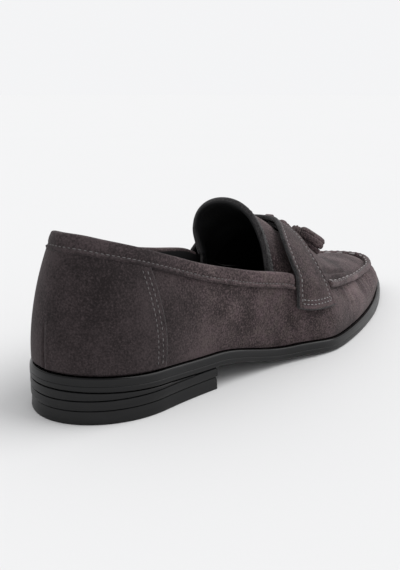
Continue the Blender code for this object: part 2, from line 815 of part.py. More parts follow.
def build_tassel(name, start, turn, dip, material):
    along, side, up = tassel_frame(turn, dip)
    sections = [
        # length, round size, flatness, depth of the gaps between strips
        (0.00, 0.55 * tassel_head_radius, 1.0, 0.0),
        (0.15 * tassel_head_length, tassel_head_radius, 1.0, 0.0),
        (0.85 * tassel_head_length, tassel_head_radius, 1.0, 0.0),
        (tassel_head_length, 0.84 * tassel_head_radius, 1.0, 0.05),
        (tassel_head_length + 0.12 * tassel_skirt_length, 0.80 * tassel_skirt_radius, 0.90, 0.08),
        (tassel_head_length + 0.42 * tassel_skirt_length, 1.00 * tassel_skirt_radius, 0.80, 0.12),
        (tassel_head_length + 0.80 * tassel_skirt_length, 1.00 * tassel_skirt_radius, 0.78, 0.14),
        (tassel_head_length + 1.00 * tassel_skirt_length, 0.78 * tassel_skirt_radius, 0.76, 0.18),
    ]
    count = tassel_strips * 3
    vertices, faces = [], []
    for length, size, flat, depth in sections:
        for i in range(count):
            angle = 2 * math.pi * i / count
            groove = 1 - depth if i % 3 == 0 else 1.0
            reach = length
            if length > tassel_head_length + tassel_skirt_length * 0.9:
                reach = length - tassel_ragged * ((i // 3 * 5) % 4) / 3
            offset = side * math.cos(angle) * size * groove + up * math.sin(angle) * size * flat * groove
            vertices.append(start + along * reach + offset)
    for k in range(len(sections) - 1):
        for i in range(count):
            j = (i + 1) % count
            faces.append((k * count + i, (k + 1) * count + i, (k + 1) * count + j, k * count + j))
    tip = len(vertices)
    vertices.append(start)
    vertices.append(start + along * (sections[-1][0] - tassel_ragged * 2))
    last = (len(sections) - 1) * count
    for i in range(count):
        j = (i + 1) % count
        faces.append((i, j, tip))
        faces.append((last + i, tip + 1, last + j))
    return make_object(name, [tuple(v) for v in vertices], faces, material)


# Where each tassel hangs: its turn to the side and its dip, as real angles
tassel_angles = {"tassel_outer": (math.radians(-46), math.radians(31)),
                 "tassel_inner": (math.radians(32), math.radians(24))}


def neck_end(knot, turn, dip):
    along, side, up = tassel_frame(turn, dip)
    return knot + along * (knot_radius + neck_length) + up * neck_rise


def build_tassels(material):
    front = strap_edges["front"][2]
    knot = crest_at(front + knot_ahead)
    knot[2] = knot[2] + knot_radius + 2 * gap
    for name, (turn, dip) in tassel_angles.items():
        build_tassel(name, neck_end(knot, turn, dip), turn, dip, material)
    return knot


def build_lace(knot, material):
    # Flat lace over the strap, its knot and the necks that carry the tassels
    back = strap_edges["back"][2]
    front = strap_edges["front"][2]
    body = bmesh.new()
    lift = strap_thickness + 3 * gap
    places = np.linspace((back + front) / 2, front + knot_ahead * 0.7, 6)
    rows = []
    for place in places:
        point = crest_at(place)
        rows.append(point + np.array([0, 0, lift + 0.0006]))
    rows.append(knot + np.array([0, -0.001, 0.0]))
    loops = []
    for point in rows:
        half, high = lace_width / 2, lace_thickness
        loops.append([body.verts.new(point + np.array(c)) for c in
                      ((-half, 0, 0), (half, 0, 0), (half, 0, high), (-half, 0, high))])
    for low, high in zip(loops, loops[1:]):
        for i in range(4):
            j = (i + 1) % 4
            body.faces.new((low[i], low[j], high[j], high[i]))
    body.faces.new(loops[0][::-1])
    body.faces.new(loops[-1])
    bmesh.ops.recalc_face_normals(body, faces=body.faces)
    mesh = bpy.data.meshes.new("tassel_lace")
    body.to_mesh(mesh)
    body.free()
    lace = bpy.data.objects.new("tassel_lace", mesh)
    bpy.context.collection.objects.link(lace)
    mesh.materials.append(material)
    parts = []
    body = bmesh.new()
    add_lump(body, knot, (knot_radius * 1.15, knot_radius, knot_radius * 0.85))
    parts.append(body)
    for turn, dip in tassel_angles.values():
        along, side, up = tassel_frame(turn, dip)
        body = bmesh.new()
        made = bmesh.ops.create_cone(body, cap_ends=True, segments=10, radius1=neck_radius,
                                     radius2=neck_radius, depth=1.0)
        start, end = knot, neck_end(knot, turn, dip) - along * gap
        axis = end - start
        length = np.linalg.norm(axis)
        axis = axis / length
        for vert in made["verts"]:
            local = vert.co.copy()
            place = start + axis * (local.z + 0.5) * length + side * local.x + up * local.y
            vert.co = place
        bmesh.ops.recalc_face_normals(body, faces=body.faces)
        parts.append(body)
    for i, body in enumerate(parts):
        mesh = bpy.data.meshes.new(f"lace_part_{i}")
        body.to_mesh(mesh)
        body.free()
        cutter = bpy.data.objects.new(f"lace_part_{i}", mesh)
        cutter.hide_render = True
        cutter.display_type = "WIRE"
        bpy.context.collection.objects.link(cutter)
        union = lace.modifiers.new(f"Join {i}", "BOOLEAN")
        union.operation = "UNION"
        union.solver = "EXACT"
        union.object = cutter
    return lace


rubber = make_material("rubber", (0.018, 0.018, 0.020), 0.42)
suede = make_material("suede", (0.105, 0.086, 0.082), 0.95)
suede_dark = make_material("suede_dark", (0.070, 0.060, 0.060), 0.95)
lining = make_material("lining", (0.012, 0.012, 0.013), 0.80)

build_outsole(rubber)
build_heel(rubber)
build_insole(lining)
build_upper(suede)
build_apron(suede)
build_seam(suede_dark)
build_counter(suede)
build_cuff(suede)
build_tongue(suede)
build_tongue_binding(suede_dark)
build_strap(suede)
build_lace(build_tassels(suede_dark), suede_dark)
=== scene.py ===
import json
import math

import bmesh
import bpy
import numpy as np
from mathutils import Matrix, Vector

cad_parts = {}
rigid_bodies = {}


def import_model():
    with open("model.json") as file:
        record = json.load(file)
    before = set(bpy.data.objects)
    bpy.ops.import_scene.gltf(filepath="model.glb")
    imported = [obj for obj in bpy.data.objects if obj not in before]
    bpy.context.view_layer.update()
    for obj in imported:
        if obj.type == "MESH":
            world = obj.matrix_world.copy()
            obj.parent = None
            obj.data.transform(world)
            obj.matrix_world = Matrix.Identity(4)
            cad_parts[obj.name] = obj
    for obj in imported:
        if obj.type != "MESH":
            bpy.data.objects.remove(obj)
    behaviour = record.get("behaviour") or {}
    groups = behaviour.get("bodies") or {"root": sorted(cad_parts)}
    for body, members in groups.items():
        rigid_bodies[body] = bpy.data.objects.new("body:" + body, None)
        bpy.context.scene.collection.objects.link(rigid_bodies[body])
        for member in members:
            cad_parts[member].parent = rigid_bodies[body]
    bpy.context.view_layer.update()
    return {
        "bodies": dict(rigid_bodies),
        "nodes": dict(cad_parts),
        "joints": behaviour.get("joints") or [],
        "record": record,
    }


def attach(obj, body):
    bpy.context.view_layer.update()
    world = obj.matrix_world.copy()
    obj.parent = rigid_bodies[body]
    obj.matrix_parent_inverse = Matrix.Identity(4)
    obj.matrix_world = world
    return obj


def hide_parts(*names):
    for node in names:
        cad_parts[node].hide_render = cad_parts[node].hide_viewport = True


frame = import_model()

mm = 0.001


# Shader building
class Value:
    # Wraps a number socket so that shader maths reads as plain expressions
    def __init__(self, shader, socket):
        self.shader = shader
        self.socket = socket

    def join(self, operation, *others):
        return self.shader.add("ShaderNodeMath", {"operation": operation}, [self, *others])

    def __add__(self, other):
        return self.join("ADD", other)

    def __sub__(self, other):
        return self.join("SUBTRACT", other)

    def __rsub__(self, other):
        return self.shader.add("ShaderNodeMath", {"operation": "SUBTRACT"}, [other, self])

    def __mul__(self, other):
        return self.join("MULTIPLY", other)

    def __truediv__(self, other):
        return self.join("DIVIDE", other)

    __radd__ = __add__
    __rmul__ = __mul__

    def atLeast(self, other):
        return self.join("MAXIMUM", other)

    def atMost(self, other):
        return self.join("MINIMUM", other)

    def clamped(self):
        return self.atLeast(0.0).atMost(1.0)


class Shader:
    def __init__(self, name):
        self.material = bpy.data.materials.new(name)
        self.material.use_nodes = True
        self.tree = self.material.node_tree
        self.surface = self.tree.nodes["Principled BSDF"]

    def add(self, kind, settings=None, inputs=(), output=0):
        node = self.tree.nodes.new(kind)
        for key, value in (settings or {}).items():
            setattr(node, key, value)
        pairs = inputs.items() if isinstance(inputs, dict) else enumerate(inputs)
        for key, value in pairs:
            self.feed(node.inputs[key], value)
        return Value(self, node.outputs[output])

    def feed(self, socket, value):
        if isinstance(value, Value):
            self.tree.links.new(value.socket, socket)
        elif isinstance(value, tuple) and socket.type == "RGBA" and len(value) == 3:
            socket.default_value = (*value, 1.0)
        else:
            socket.default_value = value

    def place(self):
        return self.add("ShaderNodeTexCoord", output="Object")

    def noise(self, place, scale, detail=2.0, roughness=0.5):
        return self.add("ShaderNodeTexNoise", {}, {
            "Vector": place, "Scale": scale, "Detail": detail, "Roughness": roughness})

    def mix(self, factor, first, second):
        # Inputs 6 and 7 and output 2 are the node's colour sockets
        return self.add("ShaderNodeMix", {"data_type": "RGBA"},
                        {"Factor": factor, 6: first, 7: second}, output=2)

    def bump(self, height, distance, strength=1.0):
        return self.add("ShaderNodeBump", {}, {
            "Height": height, "Distance": distance, "Strength": strength})

    def set(self, **inputs):
        for key, value in inputs.items():
            self.feed(self.surface.inputs[key.replace("_", " ")], value)
        return self.material


# What sets the suede's look
suedeLook = {
    "dark": (0.0145, 0.0100, 0.0106),
    "mauve": (0.092, 0.0650, 0.0695),
    "brown": (0.088, 0.0675, 0.0650),
    "heel grey": (0.0264, 0.0202, 0.0212),
    "heel shades": (0.50, 1.70),
    # Painted highlight: a soft lighter patch on the outer side, with its centre, reach and gain
    "painted highlight at": (-0.033, 0.074, 0.042),
    "painted highlight reach": 0.036,
    # Painted light: the suede is made lighter towards the toe, where the light falls
    "front painted light": 0.70,
    "painted highlight gain": 0.50,
    "nap depth": 0.35 * mm,
    "sheen": 0.12,
}


def shade(colour, share):
    return tuple(v * share for v in colour)


def makeSuede(name, lightness=1.0, seed=0.0):
    s = Shader(name)
    place = s.place()
    shifted = s.add("ShaderNodeMapping", {}, {"Vector": place, "Location": (seed, seed * 0.7, 0.0)})
    broad = s.noise(shifted, 32.0, 2.0, 0.5)
    brushed = s.noise(shifted, 120.0, 3.0, 0.6)
    fleck = s.noise(shifted, 380.0, 2.0, 0.6)
    nap = s.noise(shifted, 1100.0, 2.0, 0.7)
    grain = s.noise(shifted, 2400.0, 1.0, 0.5)
    tint = s.noise(shifted, 200.0, 2.0, 0.5)
    alongY = s.add("ShaderNodeSeparateXYZ", {}, [place], "Y")
    heel = ((alongY - 0.045) / 0.07).clamped()
    # Painted light: a mask that rises towards the toe, which the light falls on
    front = ((0.03 - alongY) / 0.11).clamped()
    # Painted highlight: lighter near a point on the outer side, fading over the reach
    away = s.add("ShaderNodeVectorMath", {"operation": "DISTANCE"}, [place, suedeLook["painted highlight at"]], 1)
    paintedHighlight = (1.0 - away / suedeLook["painted highlight reach"]).clamped()
    tone = 0.40 + (broad - 0.5) * 1.9 + (brushed - 0.5) * 0.7 + (fleck - 0.5) * 0.3
    specks = ((nap - 0.58) * 7.0).clamped()
    tone = (tone + ((nap - 0.5) * 2.2 + specks * 0.35 + (grain - 0.5) * 0.8)).clamped()
    dark, mauve, brown, grey = (shade(suedeLook[key], lightness)
                                for key in ("dark", "mauve", "brown", "heel grey"))
    light = s.mix(((tint - 0.35) * 3.0).clamped(), mauve, brown)
    colour = s.mix(tone, dark, light)
    heelColour = s.mix(tone, *(shade(grey, share) for share in suedeLook["heel shades"]))
    colour = s.mix(heel, colour, heelColour)
    # Painted light: the colour is brightened towards the toe and in the painted highlight on the outer
    # side
    gain = 1.0 + front * suedeLook["front painted light"] + paintedHighlight * suedeLook["painted highlight gain"]
    colour = s.add("ShaderNodeVectorMath", {"operation": "SCALE"}, {"Vector": colour, "Scale": gain})
    height = nap * 1.0 + grain * 0.5 + brushed * 0.8 + fleck * 0.5
    return s.set(Base_Color=colour, Roughness=0.92, Sheen_Weight=suedeLook["sheen"],
                 Sheen_Roughness=0.45, Sheen_Tint=(0.80, 0.74, 0.74),
                 Specular_IOR_Level=0.15,
                 Normal=s.bump(height, suedeLook["nap depth"], 0.7))


def makeEdge(name):
    # Cut edge of suede: grey, granular
    s = Shader(name)
    place = s.place()
    grain = s.noise(place, 1500.0, 2.0, 0.6)
    patch = s.noise(place, 260.0, 2.0, 0.5)
    tone = (0.45 + (grain - 0.5) * 2.2 + (patch - 0.5) * 0.8).clamped()
    colour = s.mix(tone, (0.010, 0.0095, 0.0100), (0.058, 0.0550, 0.0560))
    return s.set(Base_Color=colour, Roughness=0.95, Sheen_Weight=0.15, Sheen_Roughness=0.5,
                 Specular_IOR_Level=0.1, Normal=s.bump(grain + patch * 0.5, 0.5 * mm, 0.8))


def makeThread(name, tone):
    s = Shader(name)
    place = s.place()
    twist = s.add("ShaderNodeTexWave", {"wave_type": "BANDS", "bands_direction": "DIAGONAL"},
                  {"Vector": place, "Scale": 900.0, "Distortion": 1.5, "Detail": 1.0}, output=1)
    dust = s.noise(place, 1200.0, 1.0)
    colour = s.mix((twist * 0.6 + dust * 0.5).clamped(), shade(tone, 0.55), tone)
    return s.set(Base_Color=colour, Roughness=0.62, Specular_IOR_Level=0.3,
                 Normal=s.bump(twist, 0.12 * mm, 0.7))


def makeSole(name, gloss, deep, shine):
    s = Shader(name)
    place = s.place()
    stretched = s.add("ShaderNodeMapping", {}, {"Vector": place, "Scale": (40.0, 40.0, 900.0)})
    streak = s.noise(stretched, 1.0, 3.0, 0.6)
    smear = s.noise(place, 45.0, 2.0, 0.5)
    speck = s.noise(place, 2200.0, 1.0, 0.5)
    scuff = ((s.noise(place, 70.0, 4.0, 0.65) - 0.58) * 6.0).clamped()
    # Lighter streaks in the colour are a painted reflection of the studio light; the same streaks also
    # set roughness and bump
    tone = (0.35 + (streak - 0.5) * 0.9 + (smear - 0.5) * 0.8 + (speck - 0.5) * 0.4).clamped()
    colour = s.mix(tone, shade((0.0028, 0.0028, 0.0030), deep),
                   shade((0.0090, 0.0090, 0.0095), deep))
    colour = s.mix(scuff * 0.2, colour, (0.025, 0.025, 0.026))
    rough = (gloss + (smear - 0.5) * 0.22 + (streak - 0.5) * 0.16 + scuff * 0.15).clamped()
    height = streak * 0.6 + speck * 0.35
    return s.set(Base_Color=colour, Roughness=rough, Specular_IOR_Level=shine,
                 Normal=s.bump(height, 0.10 * mm, 0.55))


def makeTread(name):
    s = Shader(name)
    place = s.place()
    ribs = s.add("ShaderNodeTexWave", {"wave_type": "BANDS", "bands_direction": "Y"},
                 {"Vector": place, "Scale": 60.0, "Distortion": 0.0}, output=1)
    speck = s.noise(place, 1500.0, 2.0, 0.6)
    wear = s.noise(place, 60.0, 3.0, 0.6)
    tone = (wear * 0.8 + speck * 0.3).clamped()
    colour = s.mix(tone, (0.010, 0.010, 0.011), (0.032, 0.032, 0.033))
    return s.set(Base_Color=colour, Roughness=0.55 + wear * 0.25, Specular_IOR_Level=0.4,
                 Normal=s.bump(ribs * 1.0 + speck * 0.2, 0.35 * mm, 0.8))


def makeLining(name):
    s = Shader(name)
    place = s.place()
    grain = s.add("ShaderNodeTexVoronoi", {"feature": "F1"}, {"Vector": place, "Scale": 750.0})
    soft = s.noise(place, 90.0, 3.0, 0.6)
    colour = s.mix(soft, (0.0035, 0.0035, 0.0040), (0.0120, 0.0120, 0.0130))
    return s.set(Base_Color=colour, Roughness=0.62 + soft * 0.2, Specular_IOR_Level=0.25,
                 Normal=s.bump(grain, 0.12 * mm, 0.5))


def makeFloor(name):
    s = Shader(name)
    place = s.place()
    cloud = s.noise(place, 3.0, 2.0, 0.5)
    colour = s.mix(cloud, (0.688, 0.688, 0.688), (0.694, 0.694, 0.694))
    return s.set(Base_Color=colour, Roughness=1.0, Specular_IOR_Level=0.0)


# Suedes: name, lightness, offset of the noise
suede = makeSuede("suede")
suedeStrap = makeSuede("suede_strap", 0.87, 1.7)
suedeApron = makeSuede("suede_apron", 0.84, 3.1)
suedeTassel = makeSuede("suede_tassel", 0.95, 5.3)
suedeLace = makeSuede("suede_lace", 1.30, 2.2)
suedeCuff = makeSuede("suede_cuff", 1.38, 6.1)
suedeTongue = makeSuede("suede_tongue", 1.50, 4.4)
edgeGrey = makeEdge("suede_cut_edge")
thread = makeThread("grey_thread", (0.150, 0.143, 0.143))
threadPale = makeThread("pale_thread", (0.27, 0.26, 0.26))
threadThick = makeThread("grey_hand_thread", (0.37, 0.355, 0.35))
soleSide = makeSole("sole_side", 0.40, 0.9, 0.28)
soleLip = makeSole("sole_lip", 0.14, 0.35, 0.16)
soleTread = makeTread("sole_tread")
lining = makeLining("black_lining")
floorPaint = makeFloor("pale_floor")
print("materials made")


# The last's own shape, as the CAD gives it
last = {
    "length": 0.298, "heel half": 0.0328, "toe offset": 0.0099,
    "lip heel": 0.0022, "lip fore": 0.0030, "sole": 0.0063, "arch": 0.0025, "spring": 0.0056,
    "wedge": 0.0042, "lift": 0.0044, "top piece": 0.0062, "flare": 0.0005, "heel length": 0.0715,
    "back": 0.0788, "seam": 0.0315, "crest": 0.0830, "lean": 0.0130, "seam inset": 0.0100,
    "bulge": 0.0015, "wall": 0.0022, "gap": 0.0003, "heel widest": 0.13, "heel power": 1.97,
    "heel fan": 0.26, "toe fan": 0.60,
}
outerSide = {"waist": 0.0407, "waist at": 0.38, "ball": 0.0503, "ball at": 0.52,
             "toe end": -0.0099, "fall": 1.38, "round": 1.68}
innerSide = {"waist": 0.0285, "waist at": 0.41, "ball": 0.0485, "ball at": 0.69,
             "toe end": 0.0099, "fall": 2.45, "round": 2.10}
undersideRows = [  # share, wedge, heel stack, arch, toe spring
    (0.00, 1.00, 1.00, 0.0, 0.0), (0.12, 0.42, 1.00, 0.0, 0.0), (0.24, 0.00, 1.00, 0.0, 0.0),
    (0.42, 0.00, 0.00, 1.0, 0.0), (0.56, 0.00, 0.00, 0.0, 0.0), (0.76, 0.00, 0.00, 0.0, 0.0),
    (0.88, 0.00, 0.00, 0.0, 0.36), (1.00, 0.00, 0.00, 0.0, 1.0)]
collarRows = [  # share, outer, inner
    (0.030, 0.978, 0.978), (0.044, 0.972, 0.972), (0.074, 0.938, 0.938), (0.117, 0.887, 0.887),
    (0.174, 0.810, 0.812), (0.221, 0.746, 0.754), (0.275, 0.689, 0.710), (0.336, 0.632, 0.666),
    (0.376, 0.604, 0.642), (0.410, 0.575, 0.618)]
seamRows = [  # share, outer, inner
    (0.450, 1.260, 1.400), (0.500, 1.130, 1.200), (0.540, 1.030, 1.060), (0.600, 0.940, 0.950),
    (0.680, 0.840, 0.840), (0.760, 0.770, 0.770), (0.840, 0.710, 0.710), (0.950, 0.650, 0.650)]
insetRows = [  # share, collar outer, collar inner, seam outer, seam inner, bulge, lean
    (0.00, 1.00, 1.00, 0.00, 0.00, 0.5, 1.7), (0.06, 1.06, 1.06, 0.00, 0.00, 0.5, 1.7),
    (0.10, 0.94, 0.90, 0.00, 0.00, 0.6, 1.7), (0.16, 0.62, 0.54, 0.00, 0.00, 0.9, 1.7),
    (0.22, 0.36, 0.22, 0.00, 0.00, 1.0, 1.6), (0.34, 0.21, -0.14, 0.00, 0.00, 1.0, 1.6),
    (0.42, 0.22, -0.24, 0.00, 0.00, 1.0, 1.9), (0.50, 0.00, 0.00, 0.62, 0.10, 1.0, 2.1),
    (0.56, 0.00, 0.00, 0.88, 0.55, 1.0, 2.2), (0.64, 0.00, 0.00, 1.00, 0.95, 1.0, 2.4),
    (0.75, 0.00, 0.00, 1.00, 1.15, 1.0, 2.4), (0.85, 0.00, 0.00, 0.95, 1.20, 0.8, 2.2),
    (0.93, 0.00, 0.00, 1.20, 1.35, 0.6, 2.1), (1.00, 0.00, 0.00, 1.55, 1.55, 0.5, 2.0)]
crestRows = [  # share, height, shift
    (0.389, 1.012, -0.50), (0.436, 0.903, -0.38), (0.503, 0.796, -0.20), (0.570, 0.686, -0.10),
    (0.638, 0.522, 0.03), (0.705, 0.425, 0.25), (0.772, 0.373, 0.45), (0.800, 0.360, 0.50)]


def curveThrough(rows, column, at):
    knots = np.array([row[0] for row in rows], float)
    values = np.array([row[column] for row in rows], float)
    step = np.diff(knots)
    slope = np.diff(values) / step
    tangent = np.zeros_like(values)
    tangent[0], tangent[-1] = slope[0], slope[-1]
    for i in range(1, len(values) - 1):
        if slope[i - 1] * slope[i] > 0:
            before = 2 * step[i] + step[i - 1]
            after = step[i] + 2 * step[i - 1]
            tangent[i] = (before + after) / (before / slope[i - 1] + after / slope[i])
    at = np.clip(np.asarray(at, float), knots[0], knots[-1])
    i = np.clip(np.searchsorted(knots, at, side="right") - 1, 0, len(step) - 1)
    u = (at - knots[i]) / step[i]
    return (values[i] * (1 + 2 * u) * (1 - u) ** 2 + tangent[i] * step[i] * u * (1 - u) ** 2
            + values[i + 1] * u * u * (3 - 2 * u) + tangent[i + 1] * step[i] * u * u * (u - 1))


def wrapAround(around):
    return (np.asarray(around, float) + 1) % 2 - 1


def shareOf(around):
    return (1 - np.cos(np.pi * wrapAround(around))) / 2


def aroundOf(share):
    return np.arccos(1 - 2 * np.asarray(share, float)) / np.pi


def lengthToY(share):
    return (0.5 - share) * last["length"]


def yToShare(y):
    return 0.5 - y / last["length"]


def halfWidth(share, side):
    heel = 1 - np.clip(1 - share / last["heel widest"], 0, 1) ** last["heel power"]
    heel = last["heel half"] * heel ** (1 / last["heel power"])
    rows = [(-1.0, last["heel half"]), (last["heel widest"], last["heel half"]),
            (side["waist at"], side["waist"]), (side["ball at"], side["ball"]), (2.0, side["ball"])]
    middle = curveThrough(rows, 1, share)
    ahead = np.clip((share - side["ball at"]) / (1 - side["ball at"]), 0, 1)
    toe = (1 - ahead ** side["fall"]) ** (1 / side["round"])
    toe = side["toe end"] + (side["ball"] - side["toe end"]) * toe
    middle = np.where(share > side["ball at"], toe, middle)
    return np.where(share < last["heel widest"], heel, middle)


def bySide(around, outer, inner):
    return np.where(wrapAround(around) >= 0, outer, inner)


def stationPlaces(count):
    # Even places once round the foot: 0 at the heel, 1 and -1 at the toe, plus on the outer side
    return np.arange(-count // 2, count // 2) * 2 / count


cadStations = 88
edgeShares = shareOf(stationPlaces(cadStations))
centreShift = (halfWidth(edgeShares, outerSide).max() - halfWidth(edgeShares, innerSide).max()) / 2


def soleEdge(around):
    share = shareOf(around)
    x = bySide(around, -halfWidth(share, outerSide), halfWidth(share, innerSide))
    return np.stack([x + centreShift, lengthToY(share)], -1)


def fanShare(share):
    behind = np.clip(last["heel fan"] - share, 0, 1)
    ahead = np.clip(share - last["toe fan"], 0, 1)
    return share + behind ** 2 / (2 * last["heel fan"]) - ahead ** 2 / (2 * (1 - last["toe fan"]))


def centrePoint(around):
    share = fanShare(shareOf(around))
    shift = curveThrough(crestRows, 2, share) * last["toe offset"] * np.clip(share / 0.389, 0, 1)
    return np.stack([shift + centreShift, lengthToY(share)], -1)


def insideEdge(around, inset):
    edge = soleEdge(around)
    inward = centrePoint(around) - edge
    inward = inward / np.linalg.norm(inward, axis=-1, keepdims=True)
    return edge + inward * np.asarray(inset, float)[..., None]


def underside(y):
    share = yToShare(y)
    sizes = (last["wedge"], last["lift"] + last["top piece"], last["arch"], last["spring"])
    return sum(curveThrough(undersideRows, i + 1, share) * size for i, size in enumerate(sizes))


def soleTop(y):
    return underside(y) + last["sole"]


def ease(value):
    value = np.clip(value, 0, 1)
    return value * value * (3 - 2 * value)


def lipWidth(around):
    forward = ease((shareOf(around) - 0.15) / 0.30)
    return last["lip heel"] + (last["lip fore"] - last["lip heel"]) * forward


def topEdgeHeight(around, share):
    rows = [(at, outer * last[key], inner * last[key])
            for key, table in (("back", collarRows), ("seam", seamRows)) for at, outer, inner in table]
    return bySide(around, curveThrough(rows, 1, share), curveThrough(rows, 2, share))


def topInset(around):
    share = shareOf(around)
    outer, inner = (curveThrough(insetRows, i, share) * last["lean"]
                    + curveThrough(insetRows, i + 2, share) * last["seam inset"] for i in (1, 2))
    return bySide(around, outer, inner)


def raised(plan, z):
    return np.concatenate([plan, np.asarray(z)[..., None]], -1)


def wall(around, level):
    around, level = np.broadcast_arrays(np.asarray(around, float), np.asarray(level, float))
    share = shareOf(around)
    footInset = lipWidth(around)
    headInset = topInset(around)
    lean = curveThrough(insetRows, 6, share)
    swell = last["bulge"] * curveThrough(insetRows, 5, share)
    inset = footInset + (headInset - footInset) * level ** lean - swell * np.sin(np.pi * level)
    foot = soleTop(insideEdge(around, footInset)[..., 1]) + last["gap"]
    head = topEdgeHeight(around, yToShare(insideEdge(around, headInset)[..., 1]))
    return raised(insideEdge(around, inset), foot + (head - foot) * level)


def crown(around, inward):
    around, inward = np.broadcast_arrays(np.asarray(around, float), np.asarray(inward, float))
    edge = wall(around, np.ones_like(around))
    share = fanShare(shareOf(around))
    height = curveThrough(crestRows, 1, share) * last["crest"]
    centre = raised(centrePoint(around), height)
    point = edge + (centre - edge) * inward[..., None]
    point[..., 2] = edge[..., 2] + (height - edge[..., 2]) * (1 - (1 - inward) ** 2)
    return point


def unit(vectors):
    size = np.linalg.norm(vectors, axis=-1, keepdims=True)
    return vectors / np.maximum(size, 1e-12)


def facing(surface, around, level):
    step = 0.0005
    up = surface(around, np.minimum(level + step, 1)) - surface(around, np.maximum(level - step, 0))
    along = surface(around + step, level) - surface(around - step, level)
    return unit(np.cross(along, up))


def sweep(inward):
    return (1 - np.cos(np.pi * inward ** 1.25)) / 2


def hump(value, at, width):
    return np.exp(-((value - at) / width) ** 2)


def runAlong(grid, axis=0):
    # Distance from the start, along a line or along one axis of a grid
    run = np.cumsum(np.linalg.norm(np.diff(grid, axis=axis), axis=-1), axis=axis)
    return np.concatenate([np.zeros_like(run.take([0], axis=axis)), run], axis=axis)


def alongLine(at, run, values):
    return np.stack([np.interp(at, run, values[:, k]) for k in range(3)], -1)


# Soft hills and hollows
def softNoise(points, size, seed):
    # Smooth bumps of about the given size, the same each run
    rng = np.random.default_rng(seed)
    total = np.zeros(points.shape[:-1])
    for _ in range(9):
        direction = unit(rng.normal(size=3))
        phase = rng.uniform(0, 2 * np.pi)
        wave = size * rng.uniform(0.75, 1.5)
        total = total + np.sin(points @ direction * 2 * np.pi / wave + phase)
    return total / 3.0


# Creases: two ends in shares of length and of wall height (apron: of its half
# width, minus on the inner side), then depth and half width in mm
creases = {
    "wall": [
        (0.560, 0.92, 0.600, 0.55, 0.50, 3.0), (0.610, 0.90, 0.640, 0.60, 0.45, 2.4),
        (0.660, 0.92, 0.700, 0.62, 0.50, 2.6), (0.120, 0.60, 0.170, 0.40, 0.25, 5.0),
        (0.300, 0.70, 0.380, 0.45, 0.22, 6.0), (0.440, 0.40, 0.520, 0.30, 0.25, 5.0),
    ],
    "apron": [
        (0.550, 0.868, 0.685, 0.798, 3.0, 0.9), (0.556, 0.908, 0.665, 0.866, -1.8, 1.1),
        (0.562, 0.950, 0.635, 0.920, 1.6, 0.9), (0.640, 0.35, 0.690, 0.10, 0.4, 3.0),
        (0.640, -0.70, 0.660, -0.20, 0.5, 2.8),
    ],
    "wall height": 0.6, "apron half": 0.030, "apron width": 0.035,
    "wall ripple": (0.28 * mm, 0.034, 3), "apron ripple": (0.25 * mm, 0.030, 8),  # height, size, seed
    "wall gathers": (7.6 * mm, 0.46 * mm, 9 * mm),  # pitch, depth, reach
    "apron gathers": (8.4 * mm, -0.14 * mm, 4 * mm),
    "gathers from": 0.545,
}


def troughs(rows, first, second, firstScale, secondScale):
    # Sum of soft troughs, each about the line between its two ends
    total = np.zeros(np.broadcast(first, second).shape)
    for a0, b0, a1, b1, depth, width in rows:
        start = np.array([a0 * firstScale, b0 * secondScale])
        end = np.array([a1 * firstScale, b1 * secondScale])
        axis = end - start
        length = np.linalg.norm(axis)
        px = first * firstScale - start[0]
        py = second * secondScale - start[1]
        along = (px * axis[0] + py * axis[1]) / length ** 2
        off = (px * axis[1] - py * axis[0]) / length
        fade = 1 / (1 + np.exp(-along * 8)) / (1 + np.exp((along - 1) * 8))
        total = total - depth * mm * hump(off, 0, width * mm) * fade
    return total


def seamLength(around):
    # Distance along the seam from the toe tip, for gathers evenly spaced
    places = np.linspace(0, 1, 400)
    run = runAlong(wall(places, 1.0))
    around = wrapAround(around)
    return np.interp(np.abs(around), places, run[-1] - run) * np.sign(around)


def gathers(around, away, pitch, depth, reach):
    # Little pleats that run from the seam and die out over a reach
    mask = ease((shareOf(around) - creases["gathers from"]) / 0.06)
    run = seamLength(around)
    uneven = 0.65 + 0.40 * np.sin(run / pitch * 1.7 + 0.6) + 0.3 * np.sin(run / pitch * 0.9)
    drift = run + pitch * (0.30 * np.sin(run / pitch * 1.3 + 1.0) + 0.6 * away / reach * 0.3)
    return depth * uneven * mask * np.cos(2 * np.pi * drift / pitch) * np.exp(-away / reach)


def wallRelief(around, level):
    share = shareOf(around)
    tall = last["back"] * creases["wall height"]
    # About the distance below the wall's top edge
    away = (1 - level) * np.clip(topEdgeHeight(around, share) - 0.012, 0.008, 1)
    height, size, seed = creases["wall ripple"]
    ripple = height * softNoise(wall(around, level), size, seed)
    ripple = ripple * np.sin(np.pi * np.clip(level, 0, 1)) ** 0.7
    folds = troughs(creases["wall"], share, level, last["length"], tall) * bySide(around, 1, 0.6)
    return ripple + folds + gathers(around, away, *creases["wall gathers"])


def onWall(around, level, lift=0.0):
    around, level = np.broadcast_arrays(np.asarray(around, float), np.asarray(level, float))
    out = facing(wall, around, level)
    return wall(around, level) + out * (wallRelief(around, level) + lift)[..., None]


def crownRelief(around, inward):
    height, size, seed = creases["apron ripple"]
    ripple = height * softNoise(crown(around, inward), size, seed) * np.clip(inward * 4, 0, 1)
    relief = gathers(around, inward * creases["apron width"], *creases["apron gathers"]) + ripple
    # Walking folds in front of the strap
    side = bySide(around, 1, -1) * (1 - inward)
    return relief + troughs(creases["apron"], shareOf(around), side, last["length"],
                            creases["apron half"])


